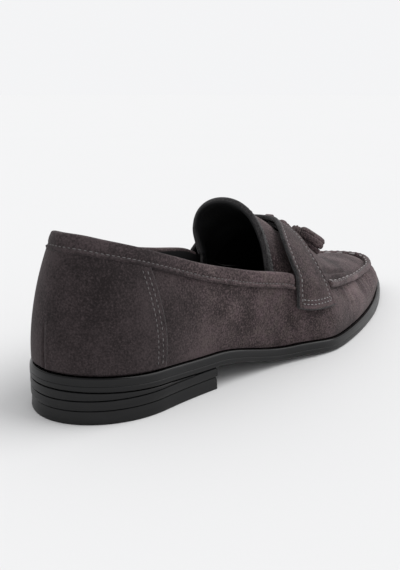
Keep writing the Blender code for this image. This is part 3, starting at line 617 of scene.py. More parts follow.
# Mesh building
def surfaceNormals(grid, closed=False):
    if closed:
        around = np.roll(grid, -1, 0) - np.roll(grid, 1, 0)
    else:
        around = np.gradient(grid, axis=0)
    across = np.gradient(grid, axis=1)
    normal = np.cross(around, across)
    size = np.linalg.norm(normal, axis=-1)
    weak = size < size.mean() * 1e-3
    if weak.any():
        # Where rows meet in a point, the neighbours' direction is taken
        given = normal.copy()
        for i, j in zip(*np.nonzero(weak)):
            normal[i, j] = given[max(i - 2, 0):i + 3, max(j - 2, 0):j + 3].reshape(-1, 3).sum(0)
    return unit(normal)


def refine(grid, factor, axis):
    # Smooth curve through the rows of a coarse grid
    grid = np.moveaxis(grid, axis, 0)
    padded = np.concatenate([2 * grid[:1] - grid[1:2], grid, 2 * grid[-1:] - grid[-2:-1]])
    rows = []
    for i in range(len(grid) - 1):
        a, b, c, d = padded[i:i + 4]
        for k in range(factor):
            t = k / factor
            rows.append(0.5 * (2 * b + (c - a) * t + (2 * a - 5 * b + 4 * c - d) * t ** 2
                               + (3 * b - a - 3 * c + d) * t ** 3))
    rows.append(grid[-1])
    return np.moveaxis(np.array(rows), 0, axis)


def addObject(name, data):
    thing = bpy.data.objects.new(name, data)
    bpy.context.scene.collection.objects.link(thing)
    return thing


def makePiece(name, vertices, faces, materials, slots=None, weld=0.0, sharp=50):
    mesh = bpy.data.meshes.new(name)
    mesh.from_pydata([tuple(v) for v in vertices], [], [tuple(f) for f in faces])
    for material in materials:
        mesh.materials.append(material)
    if slots is not None:
        mesh.polygons.foreach_set("material_index", np.asarray(slots, dtype=np.int32))
    if weld:
        body = bmesh.new()
        body.from_mesh(mesh)
        bmesh.ops.remove_doubles(body, verts=body.verts, dist=weld)
        body.to_mesh(mesh)
        body.free()
    mesh.shade_smooth()
    mesh.set_sharp_from_angle(angle=math.radians(sharp))
    mesh.update()
    return addObject(name, mesh)


def finish(piece, slot, *nodes):
    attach(piece, "root")
    if nodes:
        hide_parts(*nodes)
    print(f"{piece.name}: {sum(len(p.vertices) - 2 for p in piece.data.polygons)} triangles")
    return piece


def gridFaces(rows, columns, closed=False):
    i = np.arange(rows if closed else rows - 1)[:, None]
    j = np.arange(columns - 1)[None, :]
    a = i * columns + j
    b = (i + 1) % rows * columns + j
    return np.stack([a, b, b + 1, a + 1], -1).reshape(-1, 4)


def gridBorder(rows, columns):
    i, j = np.arange(rows), np.arange(columns)
    return np.concatenate([j, i[1:] * columns + columns - 1, (rows - 1) * columns + j[-2::-1],
                           i[-2:0:-1] * columns])


def slab(name, outer, inner, materials, bulge, closed=False, folded=False, fuzz=0.0, skinSlots=None):
    # Solid between two grids. Bulge says how round its edges are: low, high, start and end
    rows, columns = outer.shape[:2]
    count = rows * columns
    vertices = [outer.reshape(-1, 3), inner.reshape(-1, 3)]
    skin = gridFaces(rows, columns, closed)
    faces = [skin, skin[:, ::-1] + count]
    first = np.zeros(columns - 1) if skinSlots is None else np.asarray(skinSlots)
    slots = [np.tile(first, len(skin) // (columns - 1)), np.ones(len(skin))]
    total = 2 * count
    tangent = np.zeros_like(outer)
    push = np.zeros(outer.shape[:2])
    for edge, near, amount in (((slice(None), 0), (slice(None), 1), bulge[0]),
                               ((slice(None), -1), (slice(None), -2), bulge[1]),
                               ((0, slice(None)), (1, slice(None)), bulge[2]),
                               ((-1, slice(None)), (-2, slice(None)), bulge[3])):
        if closed and isinstance(edge[0], int) or folded and edge[0] == -1:
            continue
        tangent[edge] += unit(outer[edge] - outer[near])
        push[edge] = np.maximum(push[edge], amount)
    tangent = unit(tangent)
    j, i = np.arange(columns), np.arange(rows)
    if closed:
        loops = [(i * columns, True), (i[::-1] * columns + columns - 1, True)]
    elif folded:
        line = np.concatenate([i[::-1] * columns, j[1:], i[1:] * columns + columns - 1])
        loops = [(line, False)]
    else:
        loops = [(gridBorder(rows, columns), True)]
    steps = 3
    rng = np.random.default_rng(5)
    for line, joined in loops:
        top, low = outer.reshape(-1, 3)[line], inner.reshape(-1, 3)[line]
        out = tangent.reshape(-1, 3)[line]
        amount = push.reshape(-1)[line][:, None]
        half = (top - low) / 2
        size = np.linalg.norm(half, axis=1, keepdims=True)
        layers = [line]
        for k in range(1, steps + 1):
            angle = math.pi * k / (steps + 1)
            arc = (top + low) / 2 + half * math.cos(angle) + out * size * amount * math.sin(angle)
            if fuzz:
                arc = arc + out * rng.normal(size=(len(line), 1)) * fuzz
            vertices.append(arc)
            layers.append(np.arange(total, total + len(line)))
            total += len(line)
        layers.append(line + count)
        for first, second in zip(layers, layers[1:]):
            nextFirst, nextSecond = np.roll(first, -1), np.roll(second, -1)
            band = np.stack([first, nextFirst, nextSecond, second], -1)
            if not joined:
                band = band[:-1]
            faces.append(band)
            slots.append(np.full(len(band), 2))
    return makePiece(name, np.concatenate(vertices), np.concatenate(faces), materials,
                     np.concatenate(slots), weld=1e-6)


# Stitches, set out by Geometry Nodes
def stitchTree():
    tree = bpy.data.node_groups.new("stitch_row", "GeometryNodeTree")
    face = tree.interface
    face.new_socket("Geometry", in_out="INPUT", socket_type="NodeSocketGeometry")
    for label, kind, value in (("Stitch Length", "NodeSocketFloat", 2.0 * mm),
                               ("Thread Width", "NodeSocketFloat", 0.6 * mm),
                               ("Thread Height", "NodeSocketFloat", 0.5 * mm),
                               ("Unevenness", "NodeSocketFloat", 0.12),
                               ("Seed", "NodeSocketInt", 7)):
        face.new_socket(label, in_out="INPUT", socket_type=kind).default_value = value
    face.new_socket("Thread", in_out="INPUT", socket_type="NodeSocketMaterial")
    face.new_socket("Geometry", in_out="OUTPUT", socket_type="NodeSocketGeometry")
    given = tree.nodes.new("NodeGroupInput").outputs

    def add(kind, output, inputs, **settings):
        node = tree.nodes.new(kind)
        for key, value in settings.items():
            setattr(node, key, value)
        for key, value in inputs.items():
            if isinstance(value, bpy.types.NodeSocket):
                tree.links.new(value, node.inputs[key])
            else:
                node.inputs[key].default_value = value
        return node.outputs[output]

    along, up = (add("GeometryNodeInputNamedAttribute", "Attribute", {"Name": label},
                     data_type="FLOAT_VECTOR") for label in ("along", "up"))
    turn = add("FunctionNodeAlignRotationToVector", "Rotation", {"Vector": along}, axis="X")
    turn = add("FunctionNodeAlignRotationToVector", "Rotation", {"Rotation": turn, "Vector": up},
               axis="Z", pivot_axis="X")
    ball = add("GeometryNodeMeshUVSphere", "Mesh", {"Segments": 8, "Rings": 6, "Radius": 0.5})
    ball = add("GeometryNodeSetShadeSmooth", "Geometry", {"Geometry": ball})
    size = add("ShaderNodeCombineXYZ", "Vector", {
        "X": given["Stitch Length"], "Y": given["Thread Width"], "Z": given["Thread Height"]})
    chance = add("FunctionNodeRandomValue", "Value", {"Min": -1.0, "Max": 1.0, "Seed": given["Seed"]},
                 data_type="FLOAT")
    vary = add("ShaderNodeMath", "Value", {0: chance, 1: given["Unevenness"], 2: 1.0},
               operation="MULTIPLY_ADD")
    size = add("ShaderNodeVectorMath", "Vector", {0: size, "Scale": vary}, operation="SCALE")
    row = add("GeometryNodeInstanceOnPoints", "Instances", {
        "Points": given["Geometry"], "Instance": ball, "Rotation": turn, "Scale": size})
    row = add("GeometryNodeRealizeInstances", "Geometry", {"Geometry": row})
    row = add("GeometryNodeSetMaterial", "Geometry", {"Geometry": row, "Material": given["Thread"]})
    tree.links.new(row, tree.nodes.new("NodeGroupOutput").inputs["Geometry"])
    return tree


stitchNodes = stitchTree()


def runNodes(holder, tree, settings, name):
    # Sets the inputs by socket identifier, then keeps the result as a plain mesh
    modifier = holder.modifiers.new("nodes", "NODES")
    modifier.node_group = tree
    for item in tree.interface.items_tree:
        if item.item_type == "SOCKET" and item.in_out == "INPUT" and item.name in settings:
            modifier[item.identifier] = settings[item.name]
    bpy.context.view_layer.update()
    result = holder.evaluated_get(bpy.context.evaluated_depsgraph_get())
    mesh = bpy.data.meshes.new_from_object(result)
    holder.modifiers.remove(modifier)
    bpy.data.objects.remove(holder)
    mesh.name = name
    return addObject(name, mesh)


def evenPoints(line, ups, pitch):
    # Points at an even pitch along a line, each with its direction and its up
    run = runAlong(line)
    count = max(int(run[-1] / pitch), 1)
    at = (np.arange(count) + 0.5) * run[-1] / count
    ahead, behind = (alongLine(at + step * pitch, run, line) for step in (0.3, -0.3))
    return alongLine(at, run, line), unit(ahead - behind), unit(alongLine(at, run, ups))


def stitches(name, lines, pitch, size, paint, sink):
    # Size is a stitch's length, width and height; sink is how far its middle lies in the surface
    rows = [evenPoints(line, ups, pitch) for line, ups in lines]
    points, alongs, ups = (np.concatenate(values) for values in zip(*rows))
    mesh = bpy.data.meshes.new(name + "_points")
    mesh.from_pydata([tuple(p) for p in points - ups * sink], [], [])
    for label, values in (("along", alongs), ("up", ups)):
        layer = mesh.attributes.new(label, "FLOAT_VECTOR", "POINT")
        layer.data.foreach_set("vector", values.astype(np.float32).ravel())
    holder = addObject(name + "_points", mesh)
    settings = dict(zip(("Stitch Length", "Thread Width", "Thread Height"), size), Thread=paint)
    return finish(runNodes(holder, stitchNodes, settings, name), "suede_edge")


# Camera, lights and floor
studio = {
    "camera": (-0.23378, 0.33183, 0.13228),
    "looks along": (0.61697, -0.74680, -0.24773),
    "lens": 47.37,
    "sky": 0.917,
    "sky tint": (0.985, 0.988, 1.0, 1.0),
    "sun": 1.75,
    "sun from": (-0.42, -0.52, 0.74),
    "sun softness": 50,
    "floor half": 40.0,
}


def makeStudio():
    camera = addObject("photo_camera", bpy.data.cameras.new("photo_camera"))
    camera.data.lens = studio["lens"]
    camera.data.sensor_width = 36.0
    camera.data.clip_start = 0.01
    camera.location = studio["camera"]
    camera.rotation_euler = Vector(studio["looks along"]).to_track_quat("-Z", "Y").to_euler()
    bpy.context.scene.camera = camera

    world = bpy.data.worlds.new("soft_room")
    world.use_nodes = True
    back = world.node_tree.nodes["Background"]
    back.inputs["Color"].default_value = studio["sky tint"]
    back.inputs["Strength"].default_value = studio["sky"]
    bpy.context.scene.world = world

    light = bpy.data.lights.new("large_softbox", "SUN")
    light.energy = studio["sun"]
    light.angle = math.radians(studio["sun softness"])
    lamp = addObject("large_softbox", light)
    lamp.rotation_euler = (-Vector(studio["sun from"])).to_track_quat("-Z", "Y").to_euler()
    bpy.context.scene.view_settings.view_transform = "Standard"

    half = studio["floor half"]
    corners = [(-half, -half, 0), (half, -half, 0), (half, half, 0), (-half, half, 0)]
    floor = makePiece("floor", corners, [(0, 1, 2, 3)], [floorPaint])
    print("studio made")


makeStudio()


# Sole and heel
soleShape = {
    "stations": 360,
    "profile": [
        # inset in mm, share of the thickness, material: 0 side, 1 lip, 2 tread
        (1.30, 0.000, 2), (0.70, 0.004, 2), (0.30, 0.030, 0), (0.06, 0.075, 0), (0.00, 0.140, 0),
        (0.00, 0.370, 0), (0.06, 0.388, 0), (0.22, 0.402, 0), (0.22, 0.414, 0), (0.07, 0.430, 0),
        (0.02, 0.460, 0), (0.06, 0.640, 0), (0.22, 0.820, 0), (0.42, 0.900, 1), (0.72, 0.965, 1),
        (1.10, 1.000, 1), (2.40, 0.990, 1), (4.00, 0.985, 1),
    ],
}


def ringStack(name, rings, materials, slots, closedRound):
    # Rings above each other, closed below and above by strips from side to side
    count = len(rings[0])
    faces, marks = [], []
    for k in range(len(rings) - 1):
        for i in range(count):
            j = (i + 1) % count
            faces.append((k * count + i, k * count + j, (k + 1) * count + j, (k + 1) * count + i))
            marks.append(slots[k])
    if closedRound:
        pairs = [(i, (count - i) % count) for i in range(count // 2 + 1)]
    else:
        pairs = [(i, count - 1 - i) for i in range((count + 1) // 2)]
    top = (len(rings) - 1) * count
    for (a, b), (c, d) in zip(pairs, pairs[1:]):
        strip = list(dict.fromkeys([a, c, d, b]))
        faces.append(strip[::-1])
        faces.append([top + i for i in strip])
        marks += [2, slots[-1]]
    return makePiece(name, np.concatenate(rings), faces, materials, marks, sharp=35)


def stationRow(start, end, count):
    shared = stationPlaces(count)
    inside = shared[(shared > start + 0.002) & (shared < end - 0.002)]
    return np.concatenate([[start], inside, [end]])


def buildSole():
    places = stationPlaces(soleShape["stations"])
    rings, slots = [], []
    for inset, rise, slot in soleShape["profile"]:
        plan = insideEdge(places, np.full_like(places, inset * mm))
        rings.append(raised(plan, underside(plan[:, 1]) + last["sole"] * rise))
        slots.append(slot)
    piece = ringStack("outsole_dressed", rings, [soleSide, soleLip, soleTread], slots, True)
    finish(piece, "sole", "outsole")


heelShape = {
    "stations": 360, "wedge share": 0.80,
    "profile": [  # inset in mm, share of the layer's thickness
        (0.55, 0.0), (0.18, 0.035), (0.0, 0.12), (0.0, 0.5), (0.05, 0.80), (0.22, 0.95), (0.60, 1.0)],
}


def buildHeelLayer(node, low, high, flare, span):
    # High is a height, or None where the layer reaches up to the sole
    end = float(aroundOf(span))
    places = stationRow(-end, end, heelShape["stations"])
    rings = []
    for inset, rise in heelShape["profile"]:
        plan = insideEdge(places, np.full_like(places, inset * mm + flare * rise))
        top = underside(plan[:, 1]) - last["gap"] if high is None else high
        rings.append(raised(plan, np.full(len(plan), low) + (top - low) * rise))
    piece = ringStack(f"{node}_dressed", rings, [soleSide, soleLip, soleTread], [0] * len(rings), False)
    finish(piece, "sole", node)


def buildHeel():
    front = last["heel length"] / last["length"]
    foot, stack = last["top piece"], last["top piece"] + last["lift"]
    buildHeelLayer("heel_top_piece", 0.0, foot - last["gap"], last["flare"], front)
    buildHeelLayer("heel_lift", foot, stack - last["gap"], 0.0, front)
    buildHeelLayer("heel_wedge", stack, None, 0.0, front * heelShape["wedge share"])


buildSole()
buildHeel()

insoleShape = {
    "stations": 360, "thickness": 3.0 * mm,
    "profile": [(0.0, 0.0), (0.0, 0.6), (0.35, 0.85), (1.2, 1.0), (4.0, 0.97)],  # as the heel's
}


def buildInsole():
    places = stationPlaces(insoleShape["stations"])
    inset = lipWidth(places) + last["wall"] + 3 * last["gap"]
    rings = []
    for extra, rise in insoleShape["profile"]:
        plan = insideEdge(places, inset + extra * mm)
        rings.append(raised(plan, soleTop(plan[:, 1]) + last["gap"] + insoleShape["thickness"] * rise))
    piece = ringStack("insole_dressed", rings, [lining, lining, lining], [0] * len(rings), True)
    finish(piece, "lining", "insole")


buildInsole()


# Upper, counter and cuff
upperShape = {"stations": 560, "levels": 56, "round": (0.1, 0.3, 0, 0)}


def buildUpper():
    places = stationPlaces(upperShape["stations"])
    levels = np.linspace(0, 1, upperShape["levels"])
    outer = onWall(places[:, None], levels[None, :])
    inner = outer - surfaceNormals(outer, closed=True) * last["wall"]
    piece = slab("upper_dressed", outer, inner, [suede, lining, lining], upperShape["round"],
                 closed=True)
    finish(piece, "suede", "upper")


buildUpper()

counterShape = {
    "length": 0.0352, "rake": 0.0040, "bow": 0.0024, "thickness": 0.0009, "cuff depth": 0.0064,
    "dart": ((-0.007, 0.0034, 1.0), (0.004, 0.0055, -0.50)),  # place, half width, share of the depth
    "dart depth": 0.95 * mm, "dart reach": 0.40, "foot level": 0.02, "cuff gap": 0.006,
    "stitch rows": (2.3 * mm, 4.9 * mm), "pitch": 2.3 * mm, "stitch": (1.55 * mm, 0.52 * mm, 0.46 * mm),
}


def wallTall(around):
    return wall(around, 1.0)[..., 2] - wall(around, 0.0)[..., 2]


def cuffLimit(around):
    return 1 - counterShape["cuff depth"] / wallTall(around)


def counterEdge(value, levels):
    # Place round the heel and level on the wall, from one front edge to the other
    low, high, bow = (float(aroundOf((counterShape["length"] + extra) / last["length"]))
                      for extra in (0, counterShape["rake"], counterShape["bow"]))
    top = cuffLimit(np.asarray(value) * low) - counterShape["cuff gap"]
    level = counterShape["foot level"] + (top - counterShape["foot level"]) * levels
    reach = high + (low - high) * levels
    return value * (reach + (bow - low) * np.sin(np.pi * (1 - levels))), level


def buildCounter():
    spread = np.linspace(-1, 1, 300)
    value = (np.sign(spread) * np.abs(spread) ** 1.3)[:, None]
    levels = np.linspace(0, 1, 52)[None, :]
    around, level = counterEdge(value, levels)
    thick = counterShape["thickness"]
    gap = last["gap"]
    fade = np.clip(1 - level / counterShape["dart reach"], 0, 1) ** 0.6
    dart = sum(size * hump(around, at, width) for at, width, size in counterShape["dart"])
    lift = thick + gap - counterShape["dart depth"] * dart * fade
    outer = onWall(around, level, lift)
    inner = onWall(around, level, gap * 0.5)
    piece = slab("heel_counter_dressed", outer, inner, [suede, suede, edgeGrey],
                 (0.1, 0.1, 0.8, 0.8), fuzz=0.03 * mm)
    finish(piece, "suede", "heel_counter")
    lines = []
    for sign in (1, -1):
        for back in counterShape["stitch rows"]:
            run = np.linspace(0.03, 0.97, 160)
            around, level = counterEdge(np.full_like(run, sign), run)
            pace = np.linalg.norm(wall(around + 0.001, level) - wall(around, level), axis=-1) / 0.001
            around = around - sign * back / pace
            line = onWall(around, level, thick + gap)
            lines.append((line, facing(wall, around, level)))
    stitches("counter_stitches", lines, counterShape["pitch"], counterShape["stitch"], thread, 0.10 * mm)


buildCounter()

cuffShape = {
    "stations": 520, "end": 0.4160, "inner end": 0.4420,
    "depth": 0.0064, "inner depth": 0.0055, "thickness": 0.0009,
    # Bead and puff: height, place above the cuff's low edge, half width
    "bead": (0.45 * mm, 0.7 * mm, 0.60 * mm), "puff": (0.25 * mm, 4.2 * mm, 1.6 * mm),
    "dip": 0.30 * mm, "dip half": 0.55 * mm, "wobble": 0.25, "wobble pitch": 2.5 * mm,
    "stitch at": 1.7 * mm, "pitch": 2.3 * mm, "stitch": (1.6 * mm, 0.50 * mm, 0.45 * mm),
}


def bindEdge(name, surface, normal, tip, thickness, clear, skin, legs, relief, materials, lined):
    # Binding folded round an edge. surface(s) is the panel's outer face at a distance s from it
    outerSteps, innerSteps = np.linspace(legs[0], 0, 22), np.linspace(0, legs[1], 8)
    edgeNormal = normal(0.0)
    middle = surface(0.0) - edgeNormal * thickness / 2

    def layer(lift, bumps):
        # Down the outer leg, round the edge and up the inner leg
        rows = [surface(s) + normal(s) * (lift + bumps(s)) for s in outerSteps]
        for angle in math.pi * np.arange(1, 8) / 8:
            rows.append(middle + edgeNormal * (thickness / 2 + lift) * math.cos(angle)
                        + tip * lift * math.sin(angle))
        rows += [surface(s) - normal(s) * (thickness + lift) for s in innerSteps]
        return np.stack(rows, 1)

    outer, inner = layer(clear + skin, relief), layer(clear, lambda s: 0.0)
    # The leg inside the shoe is faced with lining
    inside = [3 if j > len(outerSteps) + lined else 0 for j in range(outer.shape[1] - 1)]
    return slab(name, outer, inner, materials, (0.8, 0.3, 0.3, 0.3), fuzz=0.02 * mm, skinSlots=inside)


def buildCuff():
    ends = (float(aroundOf(cuffShape[key])) for key in ("inner end", "end"))
    places = stationRow(-next(ends), next(ends), cuffShape["stations"])
    tall = wallTall(places)

    def surface(s):
        return onWall(places, 1 - s / tall)

    def normal(s):
        return facing(wall, places, 1 - s / tall)

    def relief(s):
        low = cuffShape["depth"] - s
        bead, puff = (height * hump(low, at, half)
                      for height, at, half in (cuffShape["bead"], cuffShape["puff"]))
        dip = cuffShape["dip"] * hump(low, cuffShape["stitch at"], cuffShape["dip half"])
        turns = seamLength(places) / cuffShape["wobble pitch"]
        wobble = 1 + cuffShape["wobble"] * np.sin(turns * 2 * np.pi)
        return ((bead - dip) * wobble + puff)[:, None]

    tip = unit(wall(places, 1.0) - wall(places, 0.97))
    piece = bindEdge("collar_cuff_dressed", surface, normal, tip, last["wall"], last["gap"],
                     cuffShape["thickness"], (cuffShape["depth"], cuffShape["inner depth"]), relief,
                     [suedeCuff, lining, suedeCuff, lining], lined=7)
    finish(piece, "suede", "collar_cuff")
    s = cuffShape["depth"] - cuffShape["stitch at"]
    line = onWall(places, 1 - s / tall, last["gap"] + cuffShape["thickness"] - 0.20 * mm)
    stitches("cuff_stitches", [(line, normal(s))], cuffShape["pitch"], cuffShape["stitch"], thread,
             0.05 * mm)


buildCuff()


# Apron and moccasin seam
apronShape = {
    "back side": 0.462, "back top": 0.520, "dip": 0.022, "thickness": 0.0020, "joint": 0.0010,
}


def apronBack(inward):
    return apronShape["back side"] + (apronShape["back top"] - apronShape["back side"]) * sweep(inward)


def foldedNormals(grid):
    # The grid's last row is the fold in its middle, so both of its halves agree
    out = surfaceNormals(grid)
    out[-1] = unit(out[-1] + out[-1][::-1])
    return out


def buildApron():
    value = np.linspace(0, 1, 150) ** 0.85
    across = np.linspace(-1, 1, 121)
    inward = 1 - np.abs(across)
    back = aroundOf(apronBack(inward))
    sign = np.where(across <= 0, 1.0, -1.0)
    around = sign[None, :] * (back[None, :] + (1 - back[None, :]) * value[:, None])
    edge = crown(around, 0.0)
    centre = crown(around, 1.0)
    start = apronShape["joint"] / np.linalg.norm((centre - edge)[..., :2], axis=-1)
    inside = start + (1 - start) * inward[None, :]
    inside = np.where(inward[None, :] >= 1, 1.0, inside)
    grid = crown(around, inside)
    relief = crownRelief(around, inside)
    relief[-1] = (relief[-1] + relief[-1][::-1]) / 2
    grid = grid + foldedNormals(grid) * relief[..., None]
    inner = grid - foldedNormals(grid) * apronShape["thickness"]
    piece = slab("apron_dressed", grid, inner, [suedeApron, lining, edgeGrey], (0.4, 0.4, 0.4, 0),
                 folded=True)
    finish(piece, "suede", "apron")


buildApron()

seamShape = {
    "start": 0.508, "inner start": 0.518, "radius": 1.8 * mm, "joint": 1.0 * mm, "pitch": 8.6 * mm,
    "stations": 260, "sides": 20, "swell": 0.035, "end taper": 1.2 * mm,
    "hand stitch": (5.4 * mm, 1.15 * mm, 1.00 * mm), "ridge stitch": (2.6 * mm, 0.70 * mm, 0.60 * mm),
}


def seamLine(count):
    outer, inner = (np.linspace(float(aroundOf(seamShape[key])), 1.0, count)
                    for key in ("start", "inner start"))
    places = np.concatenate([outer, -inner[-2::-1]])
    out = unit(facing(wall, places, np.full_like(places, 0.995))
               + facing(crown, places, np.full_like(places, 0.005)))
    inward = unit(crown(places, 0.02) - crown(places, 0.0))
    points = wall(places, 1.0) + out * (seamShape["radius"] + last["gap"])
    points = points + inward * seamShape["joint"] * 0.5
    return points, out, unit(np.cross(np.gradient(points, axis=0), out))


def buildSeam():
    points, out, side = seamLine(seamShape["stations"])
    run = runAlong(points)
    ends = np.clip(np.minimum(run, run[-1] - run) / seamShape["end taper"], 0.05, 1) ** 0.5
    swell = 1 + seamShape["swell"] * np.cos(2 * np.pi * run / seamShape["pitch"])
    size = seamShape["radius"] * swell * ends
    sides = seamShape["sides"]
    rows = []
    for k in range(sides + 1):
        angle = 2 * np.pi * k / sides
        flat = 1.12 if math.sin(angle) < 0 else 1.0  # deeper below, where it sits on the joint
        rows.append(points + (out * math.sin(angle) * 0.95 * flat + side * math.cos(angle) * 1.05)
                    * size[:, None])
    faces = [tuple(f) for f in gridFaces(len(points), sides + 1)]
    faces.append(list(range(sides)))
    faces.append([(len(points) - 1) * (sides + 1) + k for k in range(sides)][::-1])
    vertices = np.stack(rows, 1).reshape(-1, 3)
    piece = makePiece("moccasin_seam_dressed", vertices, faces, [suede], weld=1e-6)
    finish(piece, "suede", "moccasin_seam")
    # Hand stitches at the ridge's inner flank and a finer row over its top
    for name, way, part, key, paint, sink in (
            ("moccasin_stitches", out * 0.12 - side, 1, "hand stitch", threadThick, 0.10 * mm),
            ("ridge_stitches", out * 0.93 - side * 0.36, 2, "ridge stitch", thread, 0.12 * mm)):
        way = unit(way)
        line = points + way * seamShape["radius"] * 1.02
        stitches(name, [(line, way)], seamShape["pitch"] / part, seamShape[key], paint, sink)


buildSeam()


# Tongue and its binding
tongueShape = {"back": 0.392, "lap": 0.022, "tuck": 0.0070, "thickness": 0.0015,
               "binding": 0.0032, "binding thickness": 0.0006, "pinch": 0.0130, "bow": 0.0024,
               "groove": 2.6 * mm, "pitch": 2.4 * mm, "stitch": (1.5 * mm, 0.45 * mm, 0.4 * mm)}
tongueRows = [  # share, width, fullness, pinch, drop
    (0.390, 0.97, 2.20, 1.0, 1.0), (0.405, 0.97, 1.75, 0.9, 0.9), (0.430, 0.98, 1.15, 0.4, 0.5),
    (0.460, 1.00, 1.00, 0.0, 0.1), (0.560, 1.00, 1.00, 0.0, 0.1)]


def tongueFace(place, across):
    place, across = np.broadcast_arrays(np.asarray(place, float), np.asarray(across, float))
    around = np.where(across < 0, 1, -1) * aroundOf(place)
    leg = np.clip(np.abs(across) - 0.8, 0, 1) / 0.2
    edge = wall(around, np.ones_like(place))
    tall = edge[..., 2] - wall(around, np.zeros_like(place))[..., 2]
    foot = wall(around, 1 - leg * tongueShape["tuck"] / tall)
    shift = curveThrough(crestRows, 2, place) * last["toe offset"] + centreShift
    room = last["wall"] + cuffShape["thickness"] + 5 * last["gap"]
    width = (np.abs(foot[..., 0] - shift) - room) * curveThrough(tongueRows, 1, place)
    full = curveThrough(tongueRows, 2, place)
    arch = np.clip(np.abs(across) / 0.8, 0, 1)
    reach = 1 - (1 - arch) ** 1.4
    covered = np.clip((place - apronBack(1 - reach)) / apronShape["dip"] + 1.25, 0, 1)
    drop = np.maximum(curveThrough(tongueRows, 4, place), covered)
    drop = drop * apronShape["thickness"] + 3 * last["gap"]
    top = curveThrough(crestRows, 1, place) * last["crest"] - drop
    rise = np.clip(1 - reach ** 2, 0, 1) ** (1 / full)
    innerDraw = (1 - rise) ** 1.3 * tongueShape["pinch"]
    outerDraw = (1 + 3 * rise) * (1 - rise) * tongueShape["bow"]
    drawn = np.where(across > 0, -innerDraw, outerDraw) * curveThrough(tongueRows, 3, place)
    x = shift + np.sign(across) * width * reach + drawn
    z = edge[..., 2] + (top - edge[..., 2]) * rise - leg * tongueShape["tuck"]
    return np.stack([x, lengthToY(place), z], -1)


def tongueGrid():
    half = np.concatenate([np.linspace(0, 0.8, 9), [0.9, 1.0]])
    across = np.concatenate([-half[:0:-1], half])
    inward = (1 - np.clip(np.abs(across) / 0.8, 0, 1)) ** 1.4
    front = apronBack(inward) + tongueShape["lap"]
    steps = np.array([0.0, 0.08, 0.16, 0.28, 0.42, 0.57, 0.70, 0.83, 1.0])
    place = tongueShape["back"] + (front[None, :] - tongueShape["back"]) * steps[:, None]
    return refine(refine(tongueFace(place, across[None, :]), 6, 1), 7, 0)


def buildTongue():
    grid = tongueGrid()
    out = surfaceNormals(grid)
    grid = grid + out * (0.25 * mm * softNoise(grid, 0.028, 12))[..., None]
    inner = grid - out * tongueShape["thickness"]
    # Rows run forward and columns to the inner side, so the order is turned to face outwards
    piece = slab("tongue_dressed", grid[:, ::-1], inner[:, ::-1], [suedeTongue, lining, edgeGrey],
                 (0.3, 0.3, 0.3, 0.3))
    finish(piece, "suede", "tongue")

    # The binding keeps clear of the tongue's lowest columns
    line, lineOut, run = (values[:, 12:-12][:, ::-1] for values in (grid, out, runAlong(grid)))

    def pick(values, s):
        return np.array([alongLine(s, run[:, j], values[:, j]) for j in range(run.shape[1])])

    def face(s):
        return pick(line, s)

    def normal(s):
        return unit(pick(lineOut, s))

    def relief(s):
        return -0.18 * mm * hump(s, tongueShape["groove"], 0.5 * mm)

    piece = bindEdge("tongue_binding_dressed", face, normal, unit(line[0] - line[1]),
                     tongueShape["thickness"], 0.35 * mm, tongueShape["binding thickness"],
                     (tongueShape["binding"], tongueShape["binding"]), relief,
                     [edgeGrey, lining, lining, lining], lined=3)
    finish(piece, "suede_edge", "tongue_binding")
    ups = normal(tongueShape["groove"])
    stitches("tongue_stitches", [(face(tongueShape["groove"]) + ups * 0.95 * mm, ups)],
             tongueShape["pitch"], tongueShape["stitch"], thread, 0.0)


buildTongue()


# Saddle strap
strapShape = {
    "back": (0.421, 0.421, 0.511), "front": (0.512, 0.503, 0.541),
    "inner ahead": (0.026, 0.010), "low": 0.0150, "thickness": 0.0020, "stitch in": 2.3 * mm,
    "groove": 0.28 * mm, "groove half": 0.7 * mm, "roll": 0.25 * mm, "roll half": 1.2 * mm,
    "pitch": 2.5 * mm, "stitch": (1.6 * mm, 0.60 * mm, 0.58 * mm),
}


def strapLine(shareSide, shareTop, shareCrest, ahead, spread):
    lowLevels = np.array([0.0, 0.33, 0.66])
    crownSteps = np.array([0.0, 0.10, 0.22, 0.36, 0.52, 0.70, 0.85, 1.0])
    points, normals = [], []
    for sign, shift in ((1, 0.0), (-1, ahead)):
        side, top = shareSide + shift, shareTop + shift
        low = 1 - strapShape["low"] / wallTall(sign * float(aroundOf(top))) * spread
        levels = low + (1 - low) * lowLevels
        place = sign * aroundOf(side + (top - side) * lowLevels)
        sidePoints, sideOut = onWall(place, levels), facing(wall, place, levels)
        place = sign * aroundOf(top + (shareCrest - top) * sweep(crownSteps))
        topPoints = crown(place, crownSteps)
        topOut = facing(crown, place, np.minimum(crownSteps, 0.97))
        topOut[0] = unit(topOut[0] + facing(wall, place[:1], np.ones(1))[0])
        points.append(np.concatenate([sidePoints, topPoints]))
        normals.append(np.concatenate([sideOut, topOut]))
    crestOut = unit(normals[0][-1] + normals[1][-1])
    line = np.concatenate([points[0], points[1][-2::-1]])
    out = np.concatenate([normals[0][:-1], [crestOut], normals[1][-2::-1]])
    return line, out


